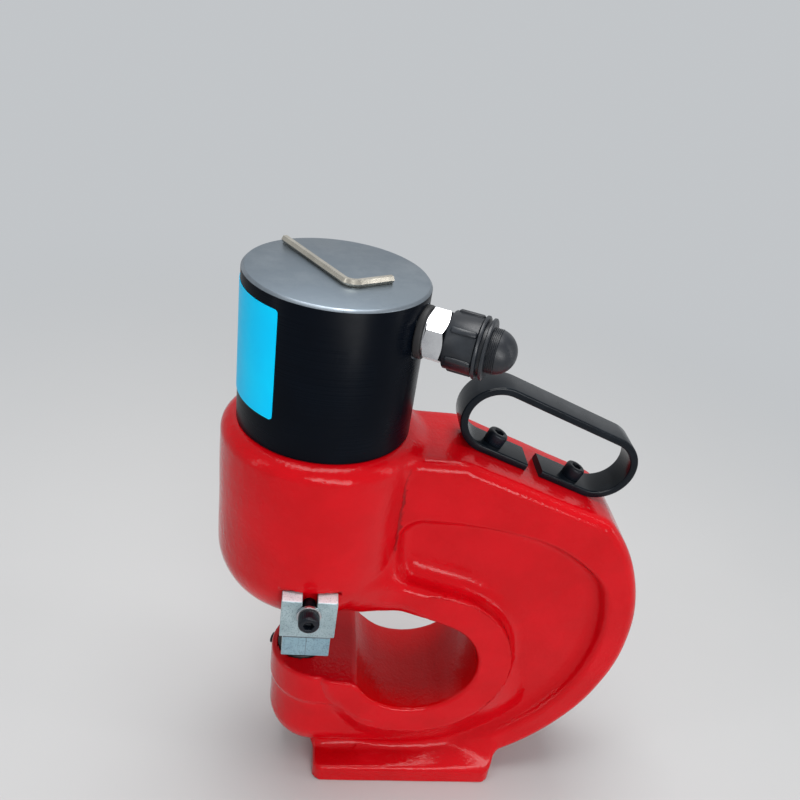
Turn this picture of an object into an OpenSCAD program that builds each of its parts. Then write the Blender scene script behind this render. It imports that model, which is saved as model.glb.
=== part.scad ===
// Hydraulic hole punch: a spring-return cylinder on a cast C-frame drives a round punch into a die.
// The floor is z = 0. +X runs from the punching head to the closed back of the C, and Y runs across it.
// Shapes are drawn about the punch axis (x = 0, y = 0) and then moved so that the foot is centred.

/* [Foot and back of the casting] */
// Length of the foot along X
foot_len = 140; // [110:1:150]
// Width of the foot across Y
foot_w = 90; // [80:1:110]
// Thickness of the foot
foot_t = 15.5; // [10:0.5:18]
// Corner radius of the foot, seen from above
foot_corner_r = 7; // [3:0.5:12]
// Distance from the punch axis to the front end of the foot
foot_front = 16; // [14:1:24]
// Outer radius of the round back
back_r = 150.5; // [146:0.5:156]
// Distance from the punch axis to the centre of the round back
back_x = 81; // [78:1:86]
// Thickness of the outer rim, across Y
rim_t = 68; // [60:1:74]
// Width of the rim round the back
rim_w = 23.5; // [18:0.5:30]
// Width of the rim under the sloping top
rim_slope_w = 31; // [24:1:38]
// Width of the rim under the flat top beside the head
rim_flat_w = 45; // [38:1:55]
// Thickness of the recessed web, across Y
web_t = 46; // [36:1:54]

/* [Upper arm and throat] */
// Drop from the head's top to the arm's flat top
arm_drop = 6; // [3:0.5:9]
// Distance from the punch axis to where the top starts to slope
slope_x = 87.5; // [82:0.5:95]
// Fall of the sloping top, in degrees
arm_slope = 20; // [16:0.5:23]
// Diameter of the throat bore
throat_d = 88; // [80:1:92]
// Distance from the punch axis to the centre of the throat bore
throat_x = 79; // [76:1:84]
// Width of the raised ring round the throat bore
ring_w = 24; // [18:1:28]
// Thickness of the raised ring, across Y
// How far the flare reaches into the head
flare_reach = 20; // [16:1:24]
// Fall of the flare's upper edge, and its setback from the recess
flare_fall = 4; // [2:1:6]
// How far the jaw's band widens past the front of the throat
band_lap = 10; // [6:1:14]
ring_t = 83; // [76:1:90]
// Rise of the ring's upper edge, from the bore's top to where it runs into the head
flare_rise = 34; // [28:1:40]
// Bearing from the bore's top at which the ring's upper edge leaves the circle, in degrees
flare_turn = 14; // [8:1:20]
// Depth that the web's recess reaches under the side of the head
recess_in = 7; // [4:0.5:10]

/* [Lower jaw] */
// Height of the jaw's top face above the floor
jaw_h = 105; // [100:1:112]
// Radius of the jaw's round nose
nose_r = 35; // [32:0.5:38]
// Distance from the punch axis to the centre of the nose
nose_x = 14; // [11:0.5:16]
// Height of the raised band round the top of the jaw
band_h = 27; // [20:1:34]
// Step from the band down to the lower part of the nose
band_step = 1.5; // [0.5:0.25:3]

/* [Head] */
// Open height between the jaw and the head
throat_gap = 65; // [60:1:70]
// Height of the head
head_h = 128; // [124:1:134]
// Outer diameter of the head
head_od = 122; // [118:1:130]
// Rounding at the bottom of the head
bowl_r = 38; // [30:1:42]
// Rounding of the head's top edge
head_edge_r = 4; // [1:0.5:6]
// Distance of the stripper flats from the punch axis
flat_y = 57; // [54:0.5:59]
// Height of the stripper flats above the blocks
flat_rise = 1; // [0.5:0.5:4]

/* [Cylinder] */
// Outer diameter of the cylinder
cylinder_od = 104; // [100:1:108]
// Height of the cylinder above the head
cylinder_h = 92; // [88:1:100]
// Bore of the cylinder
cylinder_bore = 80; // [74:1:82]
// Thickness of the cylinder's closed end
end_t = 12; // [10:0.5:14]
// Diameter of the skirt that screws into the head
skirt_od = 92; // [90:0.5:94]
// Length of the skirt
skirt_len = 36; // [30:1:40]
// Chamfer of the cylinder's top edge
cylinder_chamfer = 1.5; // [0.5:0.25:3]
// Section diameter of the sealing ring on the skirt
o_ring_d = 3; // [2.5:0.1:3.5]
// Distance from the head's top down to the middle of the sealing ring
o_ring_drop = 9; // [6:0.5:14]
// Width of the blank label along its arc
label_w = 70; // [50:1:80]
// Height of the blank label
label_h = 64; // [40:1:66]
// Distance from the head's top up to the label's lower edge
label_rise = 20; // [10:1:22]
// Thickness of the blank label
label_t = 0.4; // [0.2:0.1:0.8]
// Bearing of the label's near edge round the cylinder, in degrees
label_turn = 235; // [215:1:250]

/* [Ram and piston] */
// Working stroke of the ram
stroke = 25; // [20:1:26]
// Space above the piston at rest
oil_gap = 18; // [17:1:20]
// Length of the piston
piston_len = 24; // [22:1:28]
// Diameter of the ram
ram_d = 34; // [32:0.5:36]
// Diameter of the ram's threaded end
spigot_d = 24; // [22:0.5:25]
// Length of the ram's threaded end
spigot_len = 12; // [10:0.5:14]
// Distance that the ram's shoulder stands below the head at rest
ram_proud = 4; // [2:0.5:6]
// Width of the piston seal
seal_h = 6; // [4:0.5:7]
// Width of the piston's wear ring
wear_h = 7; // [5:0.5:8]
// Depth of the piston's ring grooves
groove_depth = 5; // [3:0.5:6]
// Diameter of the screw that holds the piston
piston_screw_d = 16; // [12:1:16]
// Height of that screw's head
piston_screw_head_h = 12; // [10:0.5:13]
// Length of that screw under its head
piston_screw_len = 30; // [24:1:40]
// Depth of that screw's head below the piston's top
piston_screw_drop = 4; // [3:0.5:5]
// Wire diameter of the return spring
spring_wire = 7; // [5:0.5:8]
// Mean diameter of the return spring
spring_d = 56; // [52:1:60]
// Curls of the return spring
spring_turns = 8; // [6:1:9]
// Diameter of the spring chamber in the head
chamber_d = 76; // [72:1:80]
// Height of the chamber's floor above the head's bottom
chamber_floor = 30; // [28:1:34]
// Thickness of the washer under the spring
spring_seat_t = 3; // [2:0.5:4]
// Wall of the guide bush
bush_wall = 5; // [4:0.5:6]
// Height of the wiper ring
wiper_h = 6; // [4:0.5:8]

/* [Punch, die and strippers] */
// Diameter of the punch
punch_d = 17; // [12:0.5:18]
// Depth that the punch enters the die at full stroke
die_entry = 5.5; // [3:0.5:7]
// Thickness of the punch's flange
punch_flange_t = 4.5; // [3:0.5:6]
// Outer diameter of the punch nut
nut_od = 30; // [29:0.5:32]
// Thickness of the punch nut's lip
nut_lip = 3.5; // [3:0.5:5]
// Outer diameter of the die
die_od = 34; // [31:0.5:36]
// Height of the die
die_h = 20; // [16:1:22]
// Height that the die stands above the jaw
die_proud = 1.5; // [0.5:0.5:2.5]
// Gap between the punch and the die, all round
die_gap = 0.25; // [0.15:0.05:0.4]
// Diameter of the slug hole under the die
slug_d = 24; // [22:0.5:25]
// Diameter of the die's set screw
set_screw_d = 8; // [6:1:8]
// Bearing of the set screw round the die, in degrees
set_screw_turn = 155; // [140:1:180]
// Length of the set screw that shows
set_screw_proud = 1.8; // [1:0.2:3]
// Width of a stripper block
stripper_w = 34; // [32:0.5:36]
// Thickness of a stripper block
stripper_t = 10; // [9:0.5:12]
// Thickness of a stripper block's foot
stripper_foot_t = 10; // [7:0.5:12]
// Distance from a stripper block's step up to its screw
stripper_screw_rise = 20; // [16:0.5:21]
// Height of a stripper block above its screw at full travel
stripper_grip = 4.5; // [4:0.5:8]
// Height of a stripper block's narrow lower part
stripper_neck_h = 18.5; // [16:0.5:20]
// Set-back of the lower part, at its front and both sides
stripper_step = 2; // [1:0.25:3]
// Travel of a stripper block
stripper_travel = 5; // [3:0.5:8]
// Clearance of the stripper feet round the ram and the punch nut
foot_clear = 1.5; // [1:0.25:3]
// Diameter of the stripper and handle screws
screw_d = 8; // [7:0.5:8.5]
// Depth that the stripper screws reach into the head
screw_grip = 12; // [10:0.5:14]
// Thickness of the spring washers
washer_t = 2.2; // [1.6:0.2:3]

/* [Handle] */
// Length of the strap loop
handle_len = 126; // [116:1:134]
// Height of the strap loop
handle_h = 47; // [44:1:54]
// Thickness of the strap
strap_t = 5; // [4:0.5:6]
// Width of the strap
strap_w = 22; // [20:1:26]
// Gap between the strap's two ends
strap_gap = 11; // [8:1:16]
// Distance between the handle screws
handle_pitch = 60; // [56:1:64]
// Distance from the start of the slope to the middle of the handle
handle_along = 49; // [44:1:54]

/* [Oil port] */
// Bearing of the port round the cylinder, in degrees
port_turn = -23; // [-40:1:10]
// Distance from the cylinder's top down to the port
port_drop = 21; // [20:0.5:23]
// Diameter of the port thread
port_d = 16; // [14:0.5:17]
// Depth of the port's spot face
spot_depth = 1.5; // [1:0.25:2]
// Outer diameter of the port's sealing washer
port_seal_od = 30; // [28:0.5:32]
// Thickness of the port's sealing washer
port_seal_t = 4.5; // [3:0.5:5]
// Size across the coupler's flats
coupler_af = 27; // [26:0.5:30]
// Length of the coupler's hexagon
coupler_hex_len = 12; // [10:0.5:13]
// Diameter of the coupler's nose
coupler_nose_d = 24; // [22:0.5:25]
// Length of the coupler's nose
coupler_nose_len = 22; // [20:0.5:24]
// Diameter of the coupler's valve ball
ball_d = 10; // [9:0.5:10.5]
// Wire diameter of the coupler's valve spring
valve_wire = 0.8; // [0.6:0.05:0.9]
// Curls of the coupler's valve spring
valve_turns = 4; // [3:1:4]
// Thickness of the ring that holds the valve spring
retainer_t = 2; // [1.5:0.25:2.5]
// Outer diameter of the dust cap's ribbed skirt
cap_od = 32; // [31:0.5:34]
// Length of the dust cap's skirt
cap_skirt_len = 17; // [16:0.5:20]
// Height of the skirt's ribs
rib_h = 1.2; // [0.6:0.2:1.6]
// Width of the skirt's ribs
rib_w = 3.6; // [2:0.2:5]
// Start of the ribs from the skirt's open end
rib_start = 2; // [1:0.5:4]
// Number of ribs on the skirt
rib_count = 6; // [4:1:12]
// Bearing of the first rib round the cap, in degrees
rib_turn = 47; // [0:1:60]
// Thickness of each of the cap's two flange discs
disc_t = 2; // [1.8:0.2:2.6]
// Outer diameter of the flange discs
disc_od = 35; // [34.5:0.5:38]
// Diameter of the cap's threaded stub
stub_d = 25; // [22:0.5:26]
// Length of the cap's threaded stub
stub_len = 5; // [4:0.5:8]
// Step from the stub to its domed end
dome_step = 0.3; // [0.1:0.1:1]
// Length of the stub's domed end
dome_len = 10; // [7:0.5:11]

/* [Hex key] */
// Size across the key's flats
key_af = 4; // [3:0.5:6]
// Length of the key's long arm
key_long = 68; // [50:1:70]
// Length of the key's short arm
key_short = 27; // [20:1:30]
// Bend radius at the middle of the key
key_bend_r = 6; // [5:0.5:8]
// Place of the key's corner from the punch axis, along X
key_x = 5.5; // [-5:0.5:10]
// Place of the key's corner from the punch axis, along Y
key_y = -23; // [-26:0.5:-10]
// Bearing of the key's long arm, in degrees
key_turn = 122; // [100:1:140]

/* [Fits] */
// Clearance between pieces that screw or press together
fit_gap = 0.05; // [0.03:0.01:0.08]
// Running clearance between sliding pieces, all round
run_gap = 0.05; // [0.03:0.01:0.08]
// Clearance between loose neighbours
free_gap = 0.3; // [0.2:0.05:0.4]

/* [Hidden] */

$fn = 96;
// A cut that runs past a face by this much leaves no skin
past = 1;
foot_mid_x = foot_front + foot_len / 2;

head_r = head_od / 2;
head_bottom_z = jaw_h + throat_gap;
head_top_z = head_bottom_z + head_h;
cylinder_top_z = head_top_z + cylinder_h;
cylinder_r = cylinder_od / 2;
skirt_r = skirt_od / 2;
skirt_end_z = head_top_z - skirt_len;

throat_r = throat_d / 2;
throat_roof = 1;
throat_z = head_bottom_z - throat_roof - throat_r;
ring_r = throat_r + ring_w;
back_z = back_r;
recess_depth = (rim_t - web_t) / 2;
recess_x = head_r - recess_in;
flare_x = recess_x - flare_reach;
arm_top_z = head_top_z - arm_drop;
band_z = jaw_h - band_h;
band_x = throat_x - throat_r + band_lap;

ram_r = ram_d / 2;
piston_r = cylinder_bore / 2 - run_gap;
piston_top_z = cylinder_top_z - end_t - oil_gap;
piston_bottom_z = piston_top_z - piston_len;
ram_end_z = head_bottom_z - ram_proud;
ram_bore_r = ram_r + run_gap;
bush_r = ram_bore_r + bush_wall;
chamber_floor_z = head_bottom_z + chamber_floor;
spring_low_z = chamber_floor_z + spring_seat_t;
groove_gap = 0.1;
land = (piston_len - seal_h - wear_h) / 3;
seal_z = piston_top_z - land - seal_h;
wear_z = piston_bottom_z + land;
piston_screw_head_r = piston_screw_d * 0.75;
piston_floor = piston_len - piston_screw_head_h - piston_screw_drop;

flange_z = ram_end_z - spigot_len - punch_flange_t;
nut_bottom_z = flange_z - nut_lip;
flange_r = spigot_d / 2 - 1;
die_top_z = jaw_h + die_proud;
punch_tip_z = die_top_z - die_entry + stroke;
die_floor_z = die_top_z - die_h;

stripper_bottom_z = head_bottom_z - free_gap - stripper_foot_t;
stripper_step_z = stripper_bottom_z + stripper_neck_h;
stripper_back_y = flat_y + free_gap;
stripper_front_y = stripper_back_y + stripper_t;
slot_w = screw_d + 1;
stripper_screw_z = stripper_step_z + stripper_screw_rise;
stripper_h = stripper_screw_rise + stripper_travel + stripper_grip;
flat_top_z = stripper_step_z + stripper_h + flat_rise;
screw_r = screw_d / 2;
screw_head_r = screw_d * 0.8125;
screw_head_h = screw_d;
foot_pass_r = max(ram_r, nut_od / 2) + foot_clear;

port_z = cylinder_top_z - port_drop;
port_face = cylinder_r - spot_depth;
hex_face = port_face + port_seal_t;
valve_coil_d = ball_d * 0.6;
retainer_bore_r = ball_d * 0.2;
nose_face = hex_face + coupler_hex_len;
cap_face = nose_face + free_gap;
cap_bore_r = coupler_nose_d / 2 + free_gap;
cap_end = nose_face + coupler_nose_len + free_gap;
disc_face = cap_face + cap_skirt_len;
stub_face = disc_face + disc_t * 3;
valve_d = ball_d + 1;
valve_throat_r = ball_d * 0.32;
valve_floor = nose_face + 1;
ball_x = valve_floor + sqrt(pow(ball_d / 2, 2) - pow(valve_throat_r, 2)) + fit_gap;
retainer_x = nose_face + coupler_nose_len - retainer_t - 1;

// Seat of the sloping top: a place along the slope, height above it
function slope_point(s, h) = [slope_x + s * cos(arm_slope) + h * sin(arm_slope),
                              arm_top_z - s * sin(arm_slope) + h * cos(arm_slope)];
// End of the strap's flat seat on the slope
seat_x = slope_point(handle_along + (handle_len - handle_h) / 2, 0)[0];

// Moves a piece from the punch axis to the part's own origin
module placed() {
    translate([-foot_mid_x, 0, 0]) children();
}

// Extrudes an X-Z outline across Y, centred
module across(t) {
    rotate([90, 0, 0]) linear_extrude(height = t, center = true) children();
}

// Ring or disc about Z
module tube(r_out, r_in, z_low, z_high) {
    translate([0, 0, z_low]) difference() {
        cylinder(r = r_out, h = z_high - z_low);
        translate([0, 0, -past]) cylinder(r = r_in, h = z_high - z_low + 2 * past);
    }
}

// Local +Z points outwards along the oil port
module at_port() {
    translate([0, 0, port_z]) rotate([0, 0, port_turn]) rotate([0, 90, 0]) children();
}

// Places a piece on the sloping top, local Z square to the slope
module on_slope(s, h) {
    translate([slope_point(s, h)[0], 0, slope_point(s, h)[1]]) rotate([0, arm_slope, 0]) children();
}

// Socket head screw: head above z = 0, shank below
module socket_screw(r, head_r, head_h, len) {
    socket_af = r * 1.5;
    difference() {
        union() {
            cylinder(r = head_r, h = head_h);
            translate([0, 0, -len]) cylinder(r = r, h = len + past);
        }
        translate([0, 0, head_h / 2])
            cylinder(r = socket_af / sqrt(3), h = head_h, $fn = 6);
    }
}

// Rectangle with round corners, centred
module round_rect(l, w, r) {
    square([l - 2 * r, w], center = true);
    square([l, w - 2 * r], center = true);
    for (x = [-1, 1], y = [-1, 1])
        translate([x * (l / 2 - r), y * (w / 2 - r)]) circle(r = r);
}

// Points of a coil: closed end curls and evenly open curls between
coil_steps = 8;
coil_end_gap = 0.6;
coil_sides = 6;
function coil_rise(u, turns, wire, height) =
    let (dead = wire + coil_end_gap,
         open = (height - wire - 2 * dead) / (turns - 2))
    u < 1 ? u * dead : u > turns - 1 ? dead + (turns - 2) * open + (u - turns + 1) * dead
                     : dead + (u - 1) * open;
function coil_centre(u, d, turns, wire, height) =
    [d / 2 * cos(360 * u), d / 2 * sin(360 * u), wire / 2 + coil_rise(u, turns, wire, height)];
function coil_ring(u, d, turns, wire, height) =
    let (c = coil_centre(u, d, turns, wire, height), a = 360 * u)
    [for (k = [0 : coil_sides - 1])
        let (b = 360 * k / coil_sides, out = wire / 2 * cos(b), up = wire / 2 * sin(b))
        [c[0] + out * cos(a), c[1] + out * sin(a), c[2] + up]];
function coil_gap(d, turns, wire, height) =
    min([for (i = [0 : coil_steps * (turns - 1)])
        let (p = coil_centre(i / coil_steps, d, turns, wire, height),
             q = coil_centre(i / coil_steps + 1, d, turns, wire, height))
        norm(q - p) - wire]);

// One unbroken wound tube standing on z = 0
module coil(d, turns, wire, height) {
    count = coil_steps * turns;
    rings = [for (i = [0 : count]) coil_ring(i / coil_steps, d, turns, wire, height)];
    points = [for (ring = rings) each ring];
    sides = [for (i = [0 : count - 1], k = [0 : coil_sides - 1])
        let (a = i * coil_sides + k, b = i * coil_sides + (k + 1) % coil_sides)
        each [[a, b, a + coil_sides], [b, b + coil_sides, a + coil_sides]]];
    start_cap = [for (k = [1 : coil_sides - 2]) [0, k + 1, k]];
    last = count * coil_sides;
    end_cap = [for (k = [1 : coil_sides - 2]) [last, last + k, last + k + 1]];
    polyhedron(points = points, faces = [for (f = concat(sides, start_cap, end_cap)) [f[0], f[2], f[1]]]);
}

// Side outline of the C before the throat is cut: a round back, and an arm that reaches past the handle
module c_outline(inset_back, inset_slope, inset_flat, x_front) {
    low = slope_point(2 * back_r, -inset_slope);
    knee_s = (inset_flat - inset_slope * cos(arm_slope)) / sin(arm_slope);
    knee = slope_point(knee_s, -inset_slope);
    intersection() {
        union() {
            translate([back_x, back_z]) circle(r = back_r - inset_back);
            translate([x_front, back_z])
                square([seat_x - inset_back - x_front, arm_top_z - back_z]);
        }
        polygon([[x_front, 0], [low[0], 0], low, knee, [x_front, knee[1]]]);
    }
}

// Raised ring round the throat, running up into the head
module ring_outline() {
    leave_x = throat_x + ring_r * sin(flare_turn);
    leave_z = throat_z + ring_r * cos(flare_turn);
    translate([throat_x, throat_z]) circle(r = ring_r);
    polygon([[flare_x, head_bottom_z], [flare_x, head_bottom_z + flare_rise + flare_fall],
             [recess_x - flare_fall, head_bottom_z + flare_rise],
             [leave_x, leave_z], [leave_x, head_bottom_z - throat_roof]]);
}

// Between the rim and the ring, and under the jaw's band, the sides are recessed to the web
module recess_outline() {
    difference() {
        union() {
            c_outline(rim_w, rim_slope_w, rim_flat_w, recess_x);
            polygon([[nose_x - past, foot_t], [back_x, back_z - back_r + rim_w + past],
                     [back_x, band_z], [nose_x - past, band_z]]);
        }
        ring_outline();
    }
}

// Raised ring, which stays within the sides of the jaw's band towards the nose
module throat_ring() {
    difference() {
        across(ring_t) ring_outline();
        for (face = [0, 1]) mirror([0, face, 0])
            linear_extrude(height = throat_z)
                polygon([[nose_x - past, ring_t / 2 + past], [nose_x - past, nose_r],
                         [nose_x, nose_r], [band_x, ring_t / 2], [band_x, ring_t / 2 + past]]);
    }
}

module arm() {
    difference() {
        across(rim_t) c_outline(0, 0, 0, nose_x);
        for (side = [-1, 1])
            translate([0, side * (rim_t - recess_depth + past) / 2, 0])
                across(recess_depth + past) recess_outline();
    }
    throat_ring();
}

// Head: a round barrel with a bowl-shaped bottom
module head() {
    rotate_extrude() intersection() {
        translate([0, head_bottom_z]) square([head_r, head_h]);
        union() {
            translate([0, head_bottom_z]) square([head_r - bowl_r, head_h - head_edge_r]);
            translate([0, head_bottom_z + bowl_r]) square([head_r, head_h - bowl_r - head_edge_r]);
            translate([0, head_bottom_z + bowl_r]) square([head_r - head_edge_r, head_h - bowl_r]);
            translate([head_r - bowl_r, head_bottom_z + bowl_r]) circle(r = bowl_r);
            translate([head_r - head_edge_r, head_top_z - head_edge_r]) circle(r = head_edge_r);
        }
    }
}

// Section of the jaw below its band: straight sides above a round underside
module low_section(low_r) {
    ball_z = foot_t + past + nose_r - band_step;
    translate([-low_r, ball_z]) square([2 * low_r, band_z - ball_z + past]);
    translate([0, ball_z]) circle(r = low_r);
}

// Lower jaw: a round nose, a keel behind it, and a band that widens to the ring
module jaw() {
    translate([nose_x, 0, 0]) rotate_extrude() intersection() {
        square([nose_r, jaw_h]);
        union() {
            translate([0, band_z]) square([nose_r, band_h]);
            low_section(nose_r - band_step);
        }
    }
    translate([nose_x, 0, 0]) rotate([90, 0, 90])
        linear_extrude(height = recess_x - nose_x) low_section(nose_r - 2 * band_step);
    translate([0, 0, band_z]) linear_extrude(height = band_h)
        polygon([[nose_x, -nose_r], [band_x, -ring_t / 2], [throat_x, -ring_t / 2],
                 [throat_x, ring_t / 2], [band_x, ring_t / 2], [nose_x, nose_r]]);
}

// Throat: a cross bore that opens to the front
module throat_cut() {
    translate([throat_x, 0, throat_z]) rotate([90, 0, 0])
        cylinder(r = throat_r, h = 2 * head_od, center = true);
    translate([throat_x - 2 * head_od, -head_od, jaw_h]) cube([2 * head_od, 2 * head_od, throat_gap]);
}

// Bores for the cylinder, spring, bush, wiper, die and screws
module frame_bores() {
    translate([0, 0, skirt_end_z - free_gap]) cylinder(r = skirt_r + fit_gap, h = head_h);
    translate([0, 0, chamber_floor_z]) cylinder(d = chamber_d, h = head_h);
    translate([0, 0, head_bottom_z - past]) cylinder(r = bush_r, h = head_h);
    translate([0, 0, die_floor_z]) cylinder(r = die_od / 2 + fit_gap, h = die_h);
    translate([0, 0, -past]) cylinder(d = slug_d, h = jaw_h);
    rotate([0, 0, set_screw_turn]) translate([0, 0, jaw_h - set_screw_d])
        rotate([0, 90, 0]) cylinder(r = set_screw_d / 2 + fit_gap, h = nose_r + nose_x);
    for (side = [-1, 1]) {
        translate([0, side * flat_y, stripper_screw_z]) rotate([90, 0, 0])
            cylinder(r = screw_r + fit_gap, h = 2 * screw_grip, center = true);
        translate([-head_r, side * (flat_y + head_r) - head_r, head_bottom_z - past])
            cube([head_od, head_od, flat_top_z - head_bottom_z + past]);
        on_slope(handle_along + side * handle_pitch / 2, 0)
            cylinder(r = screw_r + fit_gap, h = 4 * screw_grip, center = true);
    }
}

module c_frame() {
    color([0.78, 0.05, 0.09]) placed() difference() {
        union() {
            difference() {
                union() {
                    arm();
                    jaw();
                }
                throat_cut();
            }
            head();
            translate([foot_mid_x, 0, 0]) linear_extrude(height = foot_t)
                round_rect(foot_len, foot_w, foot_corner_r);
        }
        frame_bores();
    }
}

// Cylinder: closed at the top, with a skirt that screws into the head
module cylinder_body() {
    color([0.10, 0.10, 0.11]) placed() difference() {
        union() {
            translate([0, 0, head_top_z]) cylinder(r = cylinder_r, h = cylinder_h - cylinder_chamfer);
            translate([0, 0, cylinder_top_z - cylinder_chamfer])
                cylinder(r1 = cylinder_r, r2 = cylinder_r - cylinder_chamfer, h = cylinder_chamfer);
            translate([0, 0, skirt_end_z]) cylinder(r = skirt_r, h = skirt_len + past);
        }
        translate([0, 0, skirt_end_z - past])
            cylinder(d = cylinder_bore, h = cylinder_top_z - end_t - skirt_end_z + past);
        tube(skirt_r + past, skirt_r - o_ring_d - groove_gap,
             head_top_z - o_ring_drop - o_ring_d / 2 - groove_gap,
             head_top_z - o_ring_drop + o_ring_d / 2 + groove_gap);
        at_port() {
            cylinder(r = port_d / 2 + fit_gap, h = cylinder_od);
            translate([0, 0, port_face]) cylinder(r = port_seal_od / 2 + 1, h = cylinder_r);
        }
    }
}

module cylinder_o_ring() {
    color([0.05, 0.05, 0.05]) placed() translate([0, 0, head_top_z - o_ring_drop])
        rotate_extrude() translate([skirt_r - o_ring_d / 2, 0]) circle(d = o_ring_d, $fn = 24);
}

module label() {
    span = label_w / cylinder_r * 180 / PI;
    color([0.05, 0.62, 0.88]) placed() translate([0, 0, head_top_z + label_rise])
        rotate([0, 0, label_turn - span]) rotate_extrude(angle = span)
            translate([cylinder_r + fit_gap, 0]) square([label_t, label_h]);
}

module guide_bush() {
    color([0.72, 0.53, 0.25]) placed()
        tube(bush_r - fit_gap, ram_bore_r, head_bottom_z + wiper_h, chamber_floor_z);
}

module wiper_ring() {
    color([0.10, 0.10, 0.10]) placed()
        tube(bush_r - fit_gap, ram_bore_r, head_bottom_z, head_bottom_z + wiper_h);
}

module spring_seat() {
    color([0.55, 0.56, 0.58]) placed()
        tube(chamber_d / 2 - free_gap, ram_r + 1, chamber_floor_z, spring_low_z);
}

module return_spring() {
    height = piston_bottom_z - spring_low_z - 2 * free_gap;
    echo(return_spring_gap = coil_gap(spring_d, spring_turns, spring_wire, height));
    color([0.45, 0.46, 0.48]) placed() translate([0, 0, spring_low_z + free_gap])
        coil(spring_d, spring_turns, spring_wire, height);
}

module piston() {
    color([0.60, 0.61, 0.63]) placed() difference() {
        translate([0, 0, piston_bottom_z]) cylinder(r = piston_r, h = piston_len);
        tube(piston_r + past, piston_r - groove_depth, seal_z, seal_z + seal_h);
        tube(piston_r + past, piston_r - groove_depth, wear_z, wear_z + wear_h);
        translate([0, 0, piston_bottom_z - past])
            cylinder(r = piston_screw_d / 2 + fit_gap, h = piston_len + 2 * past);
        translate([0, 0, piston_bottom_z + piston_floor])
            cylinder(r = piston_screw_head_r + free_gap, h = piston_len);
    }
}

module piston_seal() {
    color([0.15, 0.30, 0.18]) placed() tube(piston_r, piston_r - groove_depth, seal_z, seal_z + seal_h);
}

module piston_wear_ring() {
    color([0.55, 0.42, 0.28]) placed() tube(piston_r, piston_r - groove_depth, wear_z, wear_z + wear_h);
}

module piston_screw() {
    color([0.12, 0.12, 0.13]) placed() translate([0, 0, piston_bottom_z + piston_floor])
        socket_screw(piston_screw_d / 2, piston_screw_head_r, piston_screw_head_h, piston_screw_len);
}

module ram() {
    color([0.68, 0.69, 0.71]) placed() difference() {
        union() {
            translate([0, 0, ram_end_z]) cylinder(r = ram_r, h = piston_bottom_z - ram_end_z);
            translate([0, 0, ram_end_z - spigot_len]) cylinder(d = spigot_d, h = spigot_len + past);
        }
        translate([0, 0, piston_bottom_z + piston_floor - piston_screw_len - past])
            cylinder(r = piston_screw_d / 2 + fit_gap, h = piston_screw_len + 2 * past);
    }
}

module punch() {
    color([0.40, 0.40, 0.42]) placed() {
        translate([0, 0, flange_z]) cylinder(r = flange_r, h = punch_flange_t);
        translate([0, 0, punch_tip_z]) cylinder(d = punch_d, h = flange_z - punch_tip_z + past);
    }
}

module punch_nut() {
    color([0.16, 0.16, 0.17]) placed() difference() {
        translate([0, 0, nut_bottom_z]) cylinder(d = nut_od, h = ram_end_z - free_gap - nut_bottom_z);
        translate([0, 0, flange_z]) cylinder(r = spigot_d / 2 + fit_gap, h = head_h);
        translate([0, 0, nut_bottom_z - past])
            cylinder(r = punch_d / 2 + fit_gap, h = nut_lip + 2 * past);
    }
}

module die() {
    hole_r = punch_d / 2 + die_gap;
    color([0.13, 0.13, 0.14]) placed() difference() {
        translate([0, 0, die_floor_z]) cylinder(d = die_od, h = die_h);
        translate([0, 0, die_floor_z - past]) cylinder(r = hole_r, h = die_h + 2 * past);
        translate([0, 0, die_floor_z - past]) cylinder(r = hole_r + 1, h = die_h / 2 + past);
    }
}

// The set screw bears on the die and stands a little proud of the nose
module die_set_screw() {
    seat = die_od / 2 + fit_gap;
    half = nose_x * cos(set_screw_turn);
    tip = half + sqrt(half * half + nose_r * nose_r - nose_x * nose_x);
    len = tip + set_screw_proud - seat;
    color([0.12, 0.12, 0.13]) placed() rotate([0, 0, set_screw_turn])
        translate([seat, 0, jaw_h - set_screw_d]) rotate([0, 90, 0]) difference() {
            cylinder(d = set_screw_d, h = len);
            translate([0, 0, len - set_screw_d / 2])
                cylinder(r = set_screw_d / 4, h = set_screw_d, $fn = 6);
        }
}

// Stripper block: a slotted plate on the head's flat, with a foot that reaches under to the punch
module stripper(side) {
    neck_w = stripper_w - 2 * stripper_step;
    color([0.72, 0.76, 0.78]) placed() rotate([0, 0, side < 0 ? 180 : 0]) difference() {
        union() {
            translate([-stripper_w / 2, stripper_back_y, stripper_step_z])
                cube([stripper_w, stripper_t, stripper_h]);
            translate([-neck_w / 2, stripper_back_y, stripper_bottom_z])
                cube([neck_w, stripper_t - stripper_step, stripper_neck_h + past]);
            translate([-neck_w / 2, foot_pass_r, stripper_bottom_z])
                cube([neck_w, stripper_back_y - foot_pass_r + past, stripper_foot_t]);
        }
        translate([0, stripper_back_y - past, stripper_screw_z]) rotate([-90, 0, 0])
            cylinder(d = slot_w, h = stripper_t + 2 * past);
        translate([-slot_w / 2, stripper_back_y - past, stripper_screw_z])
            cube([slot_w, stripper_t + 2 * past, stripper_h]);
    }
}

module stripper_front() {
    stripper(-1);
}

module stripper_rear() {
    stripper(1);
}

module stripper_screws() {
    head_y = stripper_front_y + free_gap + washer_t;
    color([0.10, 0.10, 0.11]) placed() for (turn = [0, 180])
        rotate([0, 0, turn]) translate([0, -head_y, stripper_screw_z]) rotate([90, 0, 0])
            socket_screw(screw_r, screw_head_r, screw_head_h, head_y - flat_y + screw_grip - past);
}

module stripper_washers() {
    color([0.62, 0.64, 0.66]) placed() for (turn = [0, 180])
        rotate([0, 0, turn]) translate([0, -stripper_front_y - free_gap, stripper_screw_z])
            rotate([90, 0, 0]) tube(screw_head_r + 1, screw_r + fit_gap, 0, washer_t);
}

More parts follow.
